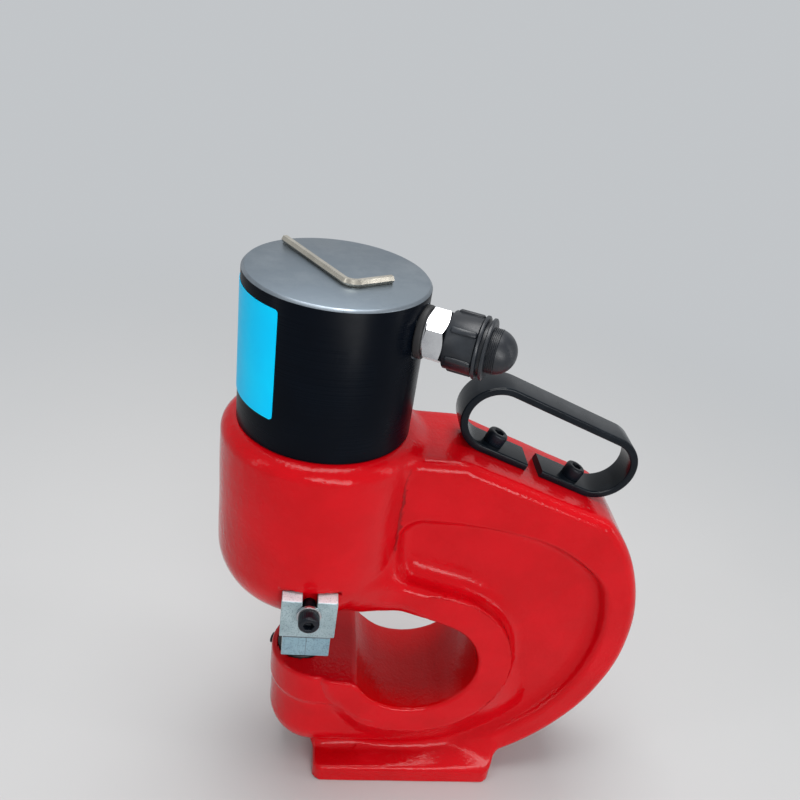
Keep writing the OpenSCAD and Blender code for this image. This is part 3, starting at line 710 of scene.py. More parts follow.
@dataclass(frozen=True)
class CastEnamel(Finish):
    """Glossy enamel over a sand casting, coarser in the throat bore."""

    colour: Triple = (0.54, 0.0015, 0.006)
    deep: Triple = (0.47, 0.001, 0.004)
    deep_bore: Triple = (0.50, 0.0006, 0.002)
    # Colour of the painted shade line in the crease between head and arm.
    dark: Triple = (0.16, 0.0004, 0.0016)
    rough: tuple[float, float] = (0.10, 0.18)
    gloss: float = 0.18
    bore_x: float = 79.0
    bore_z: float = 125.0
    bore_r: float = 44.0
    bore_edge: float = 1.6
    head_r: float = 61.0
    arm_half: float = 34.0
    seam_low: tuple[float, float] = (218.0, 228.0)
    seam_top: tuple[float, float] = (286.0, 290.0)
    seam_w: tuple[float, float] = (0.6, 2.2)
    seam_wander: float = 1.6
    seam_share: float = 0.75
    cloud_scale: float = 26.0
    swell_scale: float = 110.0
    peel_scale: float = 420.0
    speck_scale: float = 75.0
    sand_scale: float = 620.0

    def crease_shade_and_groove(self, tree: ShaderTree) -> Socket:
        """A painted shade line along the crease between head and arm, which also cuts a groove in the bump.

        Args:
            tree: The tree of the finish.

        Returns:
            Most on the corner, nought away from it.
        """
        x, y, z = tree.split(tree.mapped(shift=(FOOT_MID * MM, 0.0, 0.0)))[:3]
        wander = self.seam_wander * MM
        sway = tree.ranged(tree.noise(150.0, 3.0, 0.6), 0.2, 0.8, -wander, wander)
        corner = math.sqrt(self.head_r ** 2 - self.arm_half ** 2) * MM
        out = tree.calc("ADD", tree.calc("SUBTRACT", x, corner), sway)
        over = tree.calc("SUBTRACT", tree.calc("ABSOLUTE", y), self.arm_half * MM)
        narrow, wide = (w * MM for w in self.seam_w)
        near = tree.ranged(tree.reach(out, over), narrow, wide, self.seam_share, 0.0)
        above = tree.ranged(z, self.seam_low[0] * MM, self.seam_low[1] * MM, 0.0, 1.0)
        below = tree.ranged(z, self.seam_top[0] * MM, self.seam_top[1] * MM, 1.0, 0.0)
        return tree.calc("MULTIPLY", near, tree.calc("MULTIPLY", above, below))

    def mix(self, tree: ShaderTree) -> bpy.types.Material:
        """Faintly cloudy red with orange peel, sand grains, dust specks and a painted shade line in the
        head-arm crease.

        Args:
            tree: A fresh tree.

        Returns:
            The material.
        """
        cloud = tree.noise(self.cloud_scale, 4.0, 0.6)
        colour = tree.blend(tree.ranged(cloud, 0.3, 0.7, 0.0, 1.0), self.deep, self.colour)
        crease_shade_and_groove = self.crease_shade_and_groove(tree)
        # Painted shade: the crease between head and arm is darkened in the colour.
        colour = tree.blend(crease_shade_and_groove, colour, self.dark)
        shift = ((FOOT_MID - self.bore_x) * MM, 0.0, -self.bore_z * MM)
        x, _, z = tree.split(tree.mapped(shift=shift))[:3]
        rim = (self.bore_r + self.bore_edge) * MM
        inside = tree.ranged(tree.reach(x, z), self.bore_r * MM, rim, 1.0, 0.0)
        colour = tree.blend(inside, colour, self.deep_bore)
        normal = tree.bump(tree.noise(self.swell_scale, 2.0, 0.45), 0.6, 0.5)
        normal = tree.bump(tree.noise(self.peel_scale, 2.0, 0.55), 0.6, 0.4, normal)
        speck = tree.ranged(tree.cells(self.speck_scale), 0.05, 0.11, 1.0, 0.0)
        normal = tree.bump(speck, 0.5, 0.25, normal)
        normal = tree.bump(crease_shade_and_groove, 0.6, -0.8, normal)
        sand = tree.noise(self.sand_scale, 3.0, 0.65)
        normal = tree.bump(sand, tree.ranged(inside, 0.0, 1.0, 0.06, 0.5), 0.35, normal)
        rough = tree.ranged(cloud, 0.25, 0.75, *self.rough)
        return tree.surface(Base_Color=colour, Roughness=rough, Normal=normal, Specular_IOR_Level=self.gloss)


@dataclass(frozen=True)
class TurnedMetal(Finish):
    """Metal with fine tool lines across the Z axis and soft stains."""

    colour: Triple = (0.03, 0.03, 0.032)
    stain: Triple = (0.06, 0.06, 0.063)
    metallic: float = 0.6
    rough: tuple[float, float] = (0.3, 0.42)
    gloss: float = 0.5
    lines: float = 1500.0
    depth: float = 0.02
    stain_scale: float = 22.0

    def mix(self, tree: ShaderTree) -> bpy.types.Material:
        """Lines along the Z axis over clouds of stain.

        Args:
            tree: A fresh tree.

        Returns:
            The material.
        """
        line = tree.noise(1.0, 3.0, 0.65, tree.mapped((4.0, 4.0, self.lines)))
        cloud = tree.noise(self.stain_scale, 4.0, 0.6)
        smear = tree.ranged(cloud, 0.35, 0.75, 0.0, 1.0)
        smear = tree.calc("MULTIPLY", smear, tree.ranged(line, 0.2, 0.8, 0.5, 1.0))
        return tree.surface(
            Base_Color=tree.blend(smear, self.colour, self.stain),
            Metallic=self.metallic,
            Roughness=tree.uneven(cloud, self.rough, line, 0.04),
            Normal=tree.bump(line, 0.5, self.depth),
            Specular_IOR_Level=self.gloss,
        )


@dataclass(frozen=True)
class FacedMetal(Finish):
    """A turned end face with rings about the punch axis and smudges."""

    colour: Triple = (0.175, 0.21, 0.245)
    smudge: Triple = (0.27, 0.315, 0.355)
    rings: float = 1900.0

    def mix(self, tree: ShaderTree) -> bpy.types.Material:
        """Fine rings, a few scratches and cloudy smudges.

        Args:
            tree: A fresh tree.

        Returns:
            The material.
        """
        x, y = tree.split(tree.mapped(shift=(FOOT_MID * MM, 0.0, 0.0)))[:2]
        outward = tree.calc("MULTIPLY", tree.reach(x, y), self.rings)
        line = tree.noise(1.0, 3.0, 0.7, tree.add("ShaderNodeCombineXYZ", {"X": outward}).outputs[0])
        cloud = tree.noise(30.0, 5.0, 0.62)
        scratch = tree.noise(1.0, 2.0, 0.5, tree.mapped((18.0, 900.0, 1.0), (0.0, 0.0, 34.0)))
        smear = tree.ranged(cloud, 0.4, 0.72, 0.1, 1.0)
        smear = tree.calc("MULTIPLY", smear, tree.ranged(line, 0.2, 0.8, 0.6, 1.0))
        colour = tree.blend(smear, self.colour, self.smudge)
        rough = tree.ranged(cloud, 0.3, 0.75, 0.48, 0.34)
        normal = tree.bump(scratch, 0.12, 0.01, tree.bump(line, 0.35, 0.015))
        return tree.surface(Base_Color=colour, Metallic=1.0, Roughness=rough, Normal=normal)


@dataclass(frozen=True)
class PlatedMetal(Finish):
    """Plated or ground metal with soft blotches, fine grain and pits."""

    colour: Triple = (0.62, 0.63, 0.65)
    shade: Triple = (0.45, 0.46, 0.48)
    metallic: float = 1.0
    rough: tuple[float, float] = (0.18, 0.34)
    grain: float = 1600.0
    grain_depth: float = 0.02
    pits: float = 0.0
    blotch: float = 70.0
    pit_tone: float = 0.35

    def mix(self, tree: ShaderTree) -> bpy.types.Material:
        """Blotches in tone and gloss, grain in the normal, pits as dark specks.

        Args:
            tree: A fresh tree.

        Returns:
            The material.
        """
        cloud = tree.noise(self.blotch, 4.0, 0.6)
        grain = tree.noise(self.grain, 3.0, 0.6)
        tone = tree.blend(tree.ranged(cloud, 0.3, 0.7, 0.0, 1.0), self.shade, self.colour)
        speck = tree.ranged(tree.noise(self.grain * 0.8, 2.0, 0.5), 0.36, 0.46, self.pits, 0.0)
        colour = tree.blend(speck, tone, tuple(c * self.pit_tone for c in self.shade))
        rough = tree.uneven(cloud, self.rough, grain, -0.05)
        normal = tree.bump(grain, 0.5, self.grain_depth, tree.bump(cloud, 0.25, 0.03))
        return tree.surface(Base_Color=colour, Metallic=self.metallic, Roughness=rough, Normal=normal)


@dataclass(frozen=True)
class MouldedSkin(Finish):
    """Plastic, rubber or paint with a fine pebbled skin and rubbed patches."""

    colour: Triple = (0.012, 0.012, 0.013)
    rubbed: Triple = (0.03, 0.03, 0.031)
    rough: tuple[float, float] = (0.38, 0.55)
    grain: float = 1300.0
    grain_depth: float = 0.03
    gloss: float = 0.4

    def mix(self, tree: ShaderTree) -> bpy.types.Material:
        """Pebbles in the normal, rubbed patches in tone and gloss.

        Args:
            tree: A fresh tree.

        Returns:
            The material.
        """
        cloud = tree.noise(55.0, 5.0, 0.62)
        grain = tree.noise(self.grain, 3.0, 0.6)
        colour = tree.blend(tree.ranged(cloud, 0.45, 0.75, 0.0, 1.0), self.colour, self.rubbed)
        rough = tree.uneven(cloud, self.rough, grain, -0.04)
        normal = tree.bump(grain, 0.5, self.grain_depth)
        return tree.surface(Base_Color=colour, Roughness=rough, Normal=normal, Specular_IOR_Level=self.gloss)


@dataclass(frozen=True)
class LabelFilm(Finish):
    """Blank printed film: one colour with faint unevenness and a satin cover."""

    colour: Triple = (0.0, 0.57, 0.97)
    faded: Triple = (0.0, 0.63, 1.0)
    gloss: float = 0.07

    def mix(self, tree: ShaderTree) -> bpy.types.Material:
        """Slow fading, print grain and small lifts of the film.

        Args:
            tree: A fresh tree.

        Returns:
            The material.
        """
        cloud = tree.noise(40.0, 3.0, 0.55)
        grain = tree.noise(2200.0, 2.0, 0.5)
        fading = tree.ranged(cloud, 0.3, 0.7, 0.2, 1.0)
        fading = tree.calc("MULTIPLY", fading, tree.ranged(grain, 0.3, 0.7, 0.7, 1.0))
        colour = tree.blend(fading, self.colour, self.faded)
        rough = tree.ranged(cloud, 0.3, 0.7, 0.42, 0.32)
        normal = tree.bump(cloud, 0.3, 0.15)
        return tree.surface(Base_Color=colour, Roughness=rough, Normal=normal, Specular_IOR_Level=self.gloss)


RED_ENAMEL = CastEnamel("red_enamel", "red_paint")
BLUED_SIDE = TurnedMetal(
    "blued_side", "black_oxide", (0.0012, 0.0022, 0.0045), (0.0022, 0.004, 0.0075), 0.0, (0.24, 0.36), 0.06
)
BLUED_TOP = FacedMetal("blued_top", "black_oxide")
BARE_EDGE = PlatedMetal(
    "bare_edge", "black_oxide", (0.30, 0.34, 0.38), (0.20, 0.23, 0.26), rough=(0.3, 0.45)
)
CYLINDER_FINISHES = [BLUED_SIDE, BARE_EDGE, BLUED_TOP]
BLANK_LABEL = LabelFilm("blank_label", "blue_label")
SEAL_RUBBER = MouldedSkin("seal_rubber", "seal_rubber", rough=(0.5, 0.7))
COUPLER_PLATE = PlatedMetal(
    "coupler_plate", "nickel_plate", (0.72, 0.72, 0.73), (0.52, 0.52, 0.54), rough=(0.14, 0.28)
)
CAP_PLASTIC = MouldedSkin(
    "cap_plastic", "black_plastic", (0.008, 0.010, 0.014), (0.02, 0.024, 0.03), (0.32, 0.46), gloss=0.45
)
STRAP_PAINT = MouldedSkin(
    "strap_paint",
    "black_strap",
    (0.003, 0.005, 0.008),
    (0.007, 0.010, 0.014),
    rough=(0.16, 0.26),
    grain=700.0,
    gloss=0.17,
)
SCREW_BLACK = MouldedSkin(
    "screw_black",
    "black_screw",
    (0.003, 0.0045, 0.008),
    (0.006, 0.009, 0.015),
    rough=(0.26, 0.4),
    grain=1800.0,
    grain_depth=0.02,
    gloss=0.25,
)
STRIPPER_FINISHES = [
    PlatedMetal("stripper_" + part, "zinc_plate", tone, shade, metallic, rough, 1500.0, depth, pits)
    for part, tone, shade, metallic, rough, depth, pits in (
        ("plate", (0.36, 0.46, 0.49), (0.27, 0.36, 0.39), 0.4, (0.3, 0.42), 0.06, 0.5),
        # Upward faces painted near-white: a painted top light.
        ("top", (0.86, 0.87, 0.90), (0.70, 0.70, 0.74), 0.15, (0.3, 0.45), 0.08, 0.4),
        ("neck", (0.26, 0.40, 0.47), (0.19, 0.31, 0.38), 0.4, (0.3, 0.42), 0.08, 0.5),
        # A painted shadow for the corner under the step, also used for the darker scribed line.
        ("painted_shade_and_scribe", (0.10, 0.13, 0.15), (0.16, 0.20, 0.22), 0.3, (0.4, 0.5), 0.08, 0.4),
    )
]
WASHER_PLATE = PlatedMetal(
    "washer_plate", "zinc_plate", (0.60, 0.60, 0.61), (0.42, 0.42, 0.44), rough=(0.24, 0.4)
)
KEY_PLATE = PlatedMetal("key_nickel", "key_plate", (0.60, 0.56, 0.48), (0.44, 0.41, 0.35), rough=(0.2, 0.34))
DIE_STEEL = TurnedMetal("die_steel", "tool_steel", (0.006, 0.006, 0.007), (0.03, 0.03, 0.032), 0.3)
PUNCH_STEEL = PlatedMetal(
    "punch_steel", "tool_steel", (0.30, 0.30, 0.31), (0.18, 0.18, 0.19), rough=(0.22, 0.38)
)
RAM_STEEL = TurnedMetal(
    "ram_steel", "ground_steel", (0.55, 0.55, 0.56), (0.68, 0.68, 0.69), 1.0, (0.14, 0.24), depth=0.006
)
PISTON_STEEL = TurnedMetal(
    "piston_steel", "machined_steel", (0.40, 0.40, 0.41), (0.55, 0.55, 0.56), 1.0, (0.26, 0.38)
)
BUSH_BRONZE = TurnedMetal("bush_bronze", "bronze", (0.48, 0.28, 0.10), (0.60, 0.38, 0.16), 1.0, (0.28, 0.42))
WEAR_PLASTIC = MouldedSkin("wear_plastic", "wear_plastic", (0.30, 0.20, 0.09), (0.36, 0.25, 0.12))
SPRING_STEEL = PlatedMetal(
    "spring_steel", "spring_steel", (0.20, 0.20, 0.21), (0.10, 0.10, 0.11), rough=(0.3, 0.45)
)
BALL_STEEL = PlatedMetal(
    "ball_steel", "nickel_plate", (0.70, 0.70, 0.71), (0.60, 0.60, 0.62), rough=(0.08, 0.14)
)


# Cast frame


def keep_both(a: np.ndarray, b: np.ndarray, radius: float) -> np.ndarray:
    """Distance to what two solids share, its edges rounded outwards."""
    corner = np.hypot(np.maximum(a + radius, 0), np.maximum(b + radius, 0))
    return np.minimum(np.maximum(a, b), -radius) + corner


def add_both(a: np.ndarray, b: np.ndarray, radius: float) -> np.ndarray:
    """Distance to two solids joined with a fillet."""
    corner = np.hypot(np.maximum(radius - a, 0), np.maximum(radius - b, 0))
    return np.maximum(np.minimum(a, b), radius) - corner


def fade(value: np.ndarray, span: tuple[float, float]) -> np.ndarray:
    """A smooth step from 0 at the span's start to 1 at its end, which may lie below the start."""
    part = np.clip((value - span[0]) / (span[1] - span[0]), 0.0, 1.0)
    return part * part * (3.0 - 2.0 * part)


def settled(distance: Field, points: np.ndarray, limit: float) -> tuple[np.ndarray, np.ndarray]:
    """Draws points onto the surface of a distance field.

    Args:
        distance: Field of x, y and z, negative inside.
        points: Points near the surface.
        limit: How far a point may go in one round.

    Returns:
        The points on the surface and the outward normal at each.
    """
    normals = np.zeros_like(points)
    for _ in range(SETTLING_ROUNDS):
        slopes = []
        for nudge in np.eye(3) * NUDGE:
            rise = distance(*(points + nudge).T) - distance(*(points - nudge).T)
            slopes.append(rise / (2 * NUDGE))
        slope = np.stack(slopes, 1)
        steep = np.maximum(np.linalg.norm(slope, axis=1), 1e-6)
        normals = slope / steep[:, None]
        away = np.clip(distance(*points.T) / steep, -limit, limit)
        points = points - normals * away[:, None]
    return points, normals


def field_mesh(
    distance: Field, low: Sequence[float], high: Sequence[float], step: float
) -> tuple[np.ndarray, np.ndarray, np.ndarray]:
    """Surface of a distance field as a net of quads.

    Args:
        distance: Field of x, y and z, negative inside.
        low: Lowest corner of the space that is searched.
        high: Highest corner.
        step: Size of a cell.

    Returns:
        The points, the quads and the outward normal at each point.
    """
    axes = [np.arange(a, b + step, step) for a, b in zip(low, high)]
    shape = tuple(len(a) for a in axes)
    values = np.broadcast_to(distance(*np.meshgrid(*axes, indexing="ij", sparse=True)), shape)
    cells = tuple(n - 1 for n in shape)
    size = int(np.prod(cells))
    total, count, crossings = np.zeros((3, size)), np.zeros(size), []
    for axis in range(3):
        side_b, side_c = (axis + 1) % 3, (axis + 2) % 3
        lower, upper = [slice(None)] * 3, [slice(None)] * 3
        lower[axis], upper[axis] = slice(0, -1), slice(1, None)
        start, end = values[tuple(lower)], values[tuple(upper)]
        at = np.argwhere((start < 0) != (end < 0))
        inner = np.all([(at[:, s] > 0) & (at[:, s] < shape[s] - 1) for s in (side_b, side_c)], axis=0)
        at = at[inner]
        first, last = start[tuple(at.T)], end[tuple(at.T)]
        spot = at.astype(float)
        spot[:, axis] += first / (first - last)
        corners = []
        for down_b, down_c in ((0, 0), (1, 0), (1, 1), (0, 1)):
            cell = at.copy()
            cell[:, side_b] -= down_b
            cell[:, side_c] -= down_c
            flat = np.ravel_multi_index(tuple(cell.T), cells)
            corners.append(flat)
            count += np.bincount(flat, minlength=size)
            for k in range(3):
                total[k] += np.bincount(flat, spot[:, k], minlength=size)
        quads = np.stack(corners, 1)
        crossings.append(np.where((first < 0)[:, None], quads, quads[:, ::-1]))
    used = np.flatnonzero(count)
    number = np.zeros(size, int)
    number[used] = np.arange(len(used))
    points = (total[:, used] / count[used]).T * step + np.array([a[0] for a in axes])
    points, normals = settled(distance, points, SETTLING_SHARE * step)
    return points, number[np.vstack(crossings)], normals


@dataclass
class Casting:
    """The cast C-frame: head barrel, arm, rim, recessed web, throat ring, jaw and foot."""

    cell: float = 2.0
    box_low: Triple = (-65.0, -66.0, -4.0)
    box_high: Triple = (236.0, 66.0, 302.0)
    back_x: float = 81.0
    back_r: float = 150.5
    rim_w: float = 23.5
    rim_half: float = 34.0
    rim_edge: float = 7.5
    thin_x: tuple[float, float] = (152.0, 116.0)
    thin_z: tuple[float, float] = (72.0, 52.0)
    web_half: float = 23.0
    recess_drop: float = 31.0
    recess_corner: float = 22.0
    recess_top: float = 247.0
    recess_front: float = 53.5
    recess_end: float = 14.0
    recess_fillet: float = 10.5
    recess_edge: float = 4.5
    slope_x: float = 87.5
    slope_z: float = 292.0
    slope: float = 20.0
    slope_edge: float = 2.6
    shelf_edge: float = 2.0
    seat_x: float = 170.7
    throat_x: float = 79.0
    throat_z: float = 125.0
    throat_r: float = 44.0
    throat_edge: float = 3.0
    slot_z: float = 137.0
    slot_half: float = 32.0
    slot_round: float = 3.0
    roof_edge: float = 19.0
    roof_x: tuple[float, float] = (95.0, 50.0)
    roof_z: tuple[float, float] = (140.0, 155.0)
    ring_r: float = 68.0
    ring_half: float = 41.5
    ring_edge: float = 6.0
    ring_fillet: float = 12.0
    ring_low: tuple[float, float] = (125.0, 105.0)
    flare_lean: float = 15.98
    flare_x: float = 30.0
    flare_z: float = 150.0
    skirt_x: float = 20.0
    skirt_seam: float = 0.5
    skirt_near: float = 12.0
    skirt_near_z: tuple[float, float] = (138.0, 122.0)
    skirt_far: float = 26.0
    skirt_far_z: tuple[float, float] = (122.0, 67.0)
    skirt_flat_z: tuple[float, float] = (122.0, 77.0)
    skirt_lean: float = 0.85
    band_z: float = 78.0
    band_top: float = 130.0
    band_spread: float = 0.21
    band_edge: float = 2.4
    band_fillet: float = 4.0
    nose_x: float = 14.0
    nose_r: float = 35.0
    keel_r: float = 33.5
    keel_x: float = 75.0
    keel_top: float = 120.0
    keel_fillet: float = 2.0
    ball_z: float = 48.5
    head_r: float = 61.0
    head_low: float = 170.0
    head_top: float = 298.0
    head_round: float = 38.0
    head_edge: float = 10.0
    head_fillet: float = 1.8
    head_fillet_top: float = 5.0
    head_fillet_low: float = 12.0
    head_top_z: tuple[float, float] = (272.0, 292.0)
    head_low_z: tuple[float, float] = (230.0, 200.0)
    roof_gap: float = 0.8
    roof_round: float = 1.0
    pad_y: float = 57.0
    pad_half: float = 18.4
    pad_top: float = 208.7
    pad_edge: float = 0.8
    foot_half_x: float = 70.0
    foot_half_y: float = 45.0
    foot_corner: float = 7.0
    foot_t: float = 15.8
    foot_edge: float = 2.6
    foot_fillet: float = 7.0
    wedge_x: float = 17.0
    wedge_rise: float = 0.1
    bend_x: float = 90.0
    bend_rise: float = 0.0043
    wave_h: float = 0.09
    wave_len: Triple = (9.0, 8.0, 7.5)
    wave_start: float = 1.1
    drift: tuple[float, float] = (1.7, 0.8)
    drift_len: tuple[float, float] = (17.0, 12.0)
    cuts: tuple[Triple, ...] = (
        (46.2, 261.5, 400.0),
        (38.2, 199.8, 400.0),
        (22.2, 160.0, 220.0),
        (17.1, 86.4, 113.6),
        (12.0, -100.0, 100.0),
    )

    def outline(self, x: np.ndarray, z: np.ndarray) -> tuple[np.ndarray, np.ndarray]:
        """The C seen from the side.

        Args:
            x: Place along the throat's depth from the punch axis.
            z: Height above the foot's underside.

        Returns:
            Distance to the outline, and to its sloping top alone.
        """
        lean = math.radians(self.slope)
        slope = (x - self.slope_x) * math.sin(lean) + (z - self.slope_z) * math.cos(lean)
        back = np.hypot(x - self.back_x, z - self.back_r) - self.back_r
        seat = np.maximum(x - self.seat_x, self.back_r - z)
        shape = keep_both(np.minimum(back, seat), slope, self.slope_edge)
        shape = keep_both(shape, z - self.slope_z, self.shelf_edge)
        return np.maximum(np.maximum(shape, self.nose_x - x), -z), slope

    def recess(self, x: np.ndarray, z: np.ndarray, slope: np.ndarray) -> np.ndarray:
        """The side recess inside the rim.

        Args:
            x: Place along the throat's depth.
            z: Height.
            slope: Distance to the sloping top.

        Returns:
            Distance to the recess seen from the side.
        """
        back = np.hypot(x - self.back_x, z - self.back_r) - (self.back_r - self.rim_w)
        shape = keep_both(back, slope + self.recess_drop, self.recess_corner)
        shape = keep_both(shape, z - self.recess_top, self.recess_end)
        return keep_both(shape, self.recess_front - x, self.recess_end)

    def arm(self, x: np.ndarray, side: np.ndarray, z: np.ndarray) -> np.ndarray:
        """The C's slab with its recesses, thinner where the rim runs into the foot.

        Args:
            x: Place along the throat's depth.
            side: Distance from the middle plane.
            z: Height.

        Returns:
            Distance to the slab.
        """
        outline, slope = self.outline(x, z)
        along = np.clip((x - self.thin_x[0]) / (self.thin_x[1] - self.thin_x[0]), 0.0, 1.0)
        half = self.rim_half - (self.rim_half - self.web_half) * along * fade(z, self.thin_z)
        slab = keep_both(outline, side - half, self.rim_edge)
        pocket = keep_both(self.recess(x, z, slope), self.web_half - side, self.recess_fillet)
        return keep_both(slab, -pocket, self.recess_edge)

    def ring(self, x: np.ndarray, z: np.ndarray) -> np.ndarray:
        """The raised ring round the throat with its flare into the head.

        Args:
            x: Place along the throat's depth.
            z: Height.

        Returns:
            Distance to the ring seen from the side.
        """
        lean = math.radians(self.flare_lean)
        across, along = x - self.throat_x, z - self.throat_z
        circle = np.hypot(across, along) - self.ring_r
        upper = across * math.sin(lean) + along * math.cos(lean) - self.ring_r
        before = across * math.cos(lean) - along * math.sin(lean) < 0.0
        flare = np.maximum(np.maximum(upper, self.flare_x - x), self.flare_z - z)
        return np.minimum(circle, np.where(before, flare, circle))

    def band_half(self, x: np.ndarray) -> np.ndarray:
        """Half width of the jaw's band, which widens from the nose to the ring."""
        return np.clip(self.nose_r + (x - self.nose_x) * self.band_spread, self.nose_r, self.ring_half)

    def jaw(self, x: np.ndarray, y: np.ndarray, z: np.ndarray) -> tuple[np.ndarray, np.ndarray]:
        """The lower jaw.

        Args:
            x: Place along the throat's depth.
            y: Place across.
            z: Height.

        Returns:
            Distances to the keel with its ball end, and to the band that widens to the ring.
        """
        out, rise = x - np.clip(x, self.nose_x, self.keel_x), z - np.clip(z, self.ball_z, self.keel_top)
        keel = np.sqrt(out * out + y * y + rise * rise) - self.keel_r
        length = np.maximum(x - self.throat_x, self.nose_x - x)
        wide = np.maximum(np.abs(y) - self.band_half(x), length)
        plan = np.minimum(np.hypot(x - self.nose_x, y) - self.nose_r, wide)
        return keel, keep_both(plan, np.maximum(self.band_z - z, z - self.band_top), self.band_edge)

    def foot(self, x: np.ndarray, y: np.ndarray, z: np.ndarray) -> np.ndarray:
        """The foot plate, its top drafted up to the web.

        Args:
            x: Place along the throat's depth.
            y: Place across.
            z: Height.

        Returns:
            Distance to the foot.
        """
        side, width = np.abs(y), self.foot_half_y - self.web_half
        plan = keep_both(np.abs(x - FOOT_MID) - self.foot_half_x, side - self.foot_half_y, self.foot_corner)
        rise = np.maximum(x - self.wedge_x, 0.0) * self.wedge_rise
        rise = rise + self.bend_rise * np.maximum(x - self.bend_x, 0.0) ** 2
        top = self.foot_t + rise * np.clip((self.foot_half_y - side) / width, 0.0, 1.0)
        return keep_both(plan, (z - top) / np.hypot(1.0, rise / width), self.foot_edge)

    def skirt(self, x: np.ndarray, side: np.ndarray, z: np.ndarray, half: np.ndarray) -> np.ndarray:
        """The wall below the throat, which leans in from the ring's face to the web.

        Args:
            x: Place along the throat's depth.
            side: Distance from the middle plane.
            z: Height.
            half: Half width of the ring's face.

        Returns:
            Distance to the wall.
        """
        gap = np.hypot(x - self.throat_x, z - self.throat_z) - self.ring_r
        spread = self.skirt_seam + self.skirt_near * fade(z, self.skirt_near_z)
        spread = spread + self.skirt_far * fade(z, self.skirt_far_z)
        part = np.clip(gap / spread, 0.0, 1.0)
        hollow = np.sqrt(1.0 - (1.0 - part) ** 2)
        fall = hollow + (part - hollow) * fade(z, self.skirt_flat_z)
        lean = self.web_half + (half - self.web_half) * (1.0 - fall)
        return np.maximum(np.maximum(gap - spread, self.skirt_x - x), (side - lean) * self.skirt_lean)

    def throat(self, x: np.ndarray, z: np.ndarray) -> np.ndarray:
        """The throat: a bore with a slot that opens to the front.

        Args:
            x: Place along the throat's depth.
            z: Height.

        Returns:
            Distance to the opening seen from the side.
        """
        slot = np.maximum(x - self.throat_x, np.abs(z - self.slot_z) - self.slot_half)
        bore = np.hypot(x - self.throat_x, z - self.throat_z) - self.throat_r
        return add_both(bore, slot, self.slot_round)

    def with_head(self, shape: np.ndarray, x: np.ndarray, y: np.ndarray, z: np.ndarray) -> np.ndarray:
        """Joins the head barrel to the frame, with a wider fillet at its top and low down.

        Args:
            shape: Distance to the frame without its head.
            x: Place along the throat's depth.
            y: Place across.
            z: Height.

        Returns:
            Distance to both.
        """
        barrel = keep_both(np.hypot(x, y) - self.head_r, self.head_low - z, self.head_round)
        head = keep_both(barrel, z - self.head_top, self.head_edge)
        fillet = self.head_fillet + self.head_fillet_top * fade(z, self.head_top_z)
        return add_both(shape, head, fillet + self.head_fillet_low * fade(z, self.head_low_z))

    def bores(self, x: np.ndarray, y: np.ndarray, z: np.ndarray) -> np.ndarray:
        """The bores for the cylinder, spring, ram, die and slugs.

        Args:
            x: Place along the throat's depth.
            y: Place across.
            z: Height.

        Returns:
            Distance to the nearest bore.
        """
        around = np.hypot(x, y)
        depths = [np.maximum(around - r, np.maximum(low - z, z - high)) for r, low, high in self.cuts]
        return np.minimum.reduce(depths)

    def wave(self, x: np.ndarray, y: np.ndarray, z: np.ndarray) -> np.ndarray:
        """The slow unevenness that a sand mould leaves.

        Args:
            x: Place along the throat's depth.
            y: Place across.
            z: Height.

        Returns:
            Its height, from about -2 to 2.
        """
        bent = np.sin(x / self.wave_len[0] + self.drift[0] * np.sin(z / self.drift_len[0]))
        rise = np.sin(z / self.wave_len[2] + self.drift[1] * np.sin(x / self.drift_len[1]))
        return bent * np.sin(y / self.wave_len[1] + self.wave_start) + rise

    def distance(self, x: np.ndarray, y: np.ndarray, z: np.ndarray) -> np.ndarray:
        """Distance to the whole casting in millimetres, negative inside.

        Args:
            x: Place along the throat's depth from the punch axis.
            y: Place across.
            z: Height above the foot's underside.

        Returns:
            The distance at each place.
        """
        side = np.abs(y)
        half = self.ring_half - (self.ring_half - self.band_half(x)) * fade(z, self.ring_low)
        ringed = keep_both(self.ring(x, z), side - half, self.ring_edge)
        shape = add_both(self.arm(x, side, z), ringed, self.ring_fillet)
        shape = np.minimum(shape, self.skirt(x, side, z, half))
        keel, band = self.jaw(x, y, z)
        shape = np.minimum(shape, add_both(keel, band, self.band_fillet))
        shape = add_both(shape, keel, self.keel_fillet)
        throat = self.throat(x, z)
        roof = self.roof_edge * fade(x, self.roof_x) * fade(z, self.roof_z)
        shape = keep_both(shape, -throat, self.throat_edge + roof)
        shape = self.with_head(shape, x, y, z)
        shape = keep_both(shape, -throat - self.roof_gap, self.roof_round)
        shape = add_both(shape, self.foot(x, y, z), self.foot_fillet)
        shape = shape + self.wave_h * self.wave(x, y, z)
        pad = np.maximum(np.maximum(self.pad_y - side, np.abs(x) - self.pad_half), z - self.pad_top)
        shape = keep_both(shape, -pad, self.pad_edge)
        shape = np.maximum(shape, np.maximum(-z, z - self.head_top))
        return np.maximum(shape, -self.bores(x, y, z))

    def build(self) -> bpy.types.Object:
        """Meshes the field and dresses it.

        Returns:
            The casting.
        """
        points, quads, normals = field_mesh(self.distance, self.box_low, self.box_high, self.cell)
        mesh = bpy.data.meshes.new("cast_frame")
        mesh.from_pydata(placed(points).tolist(), [], quads.tolist())
        mesh.shade_smooth()
        mesh.normals_split_custom_set_from_vertices(normals.tolist())
        return piece("cast_frame", mesh, [RED_ENAMEL], Body.FRAME, ["c_frame"], sharp=None)


# Oil port


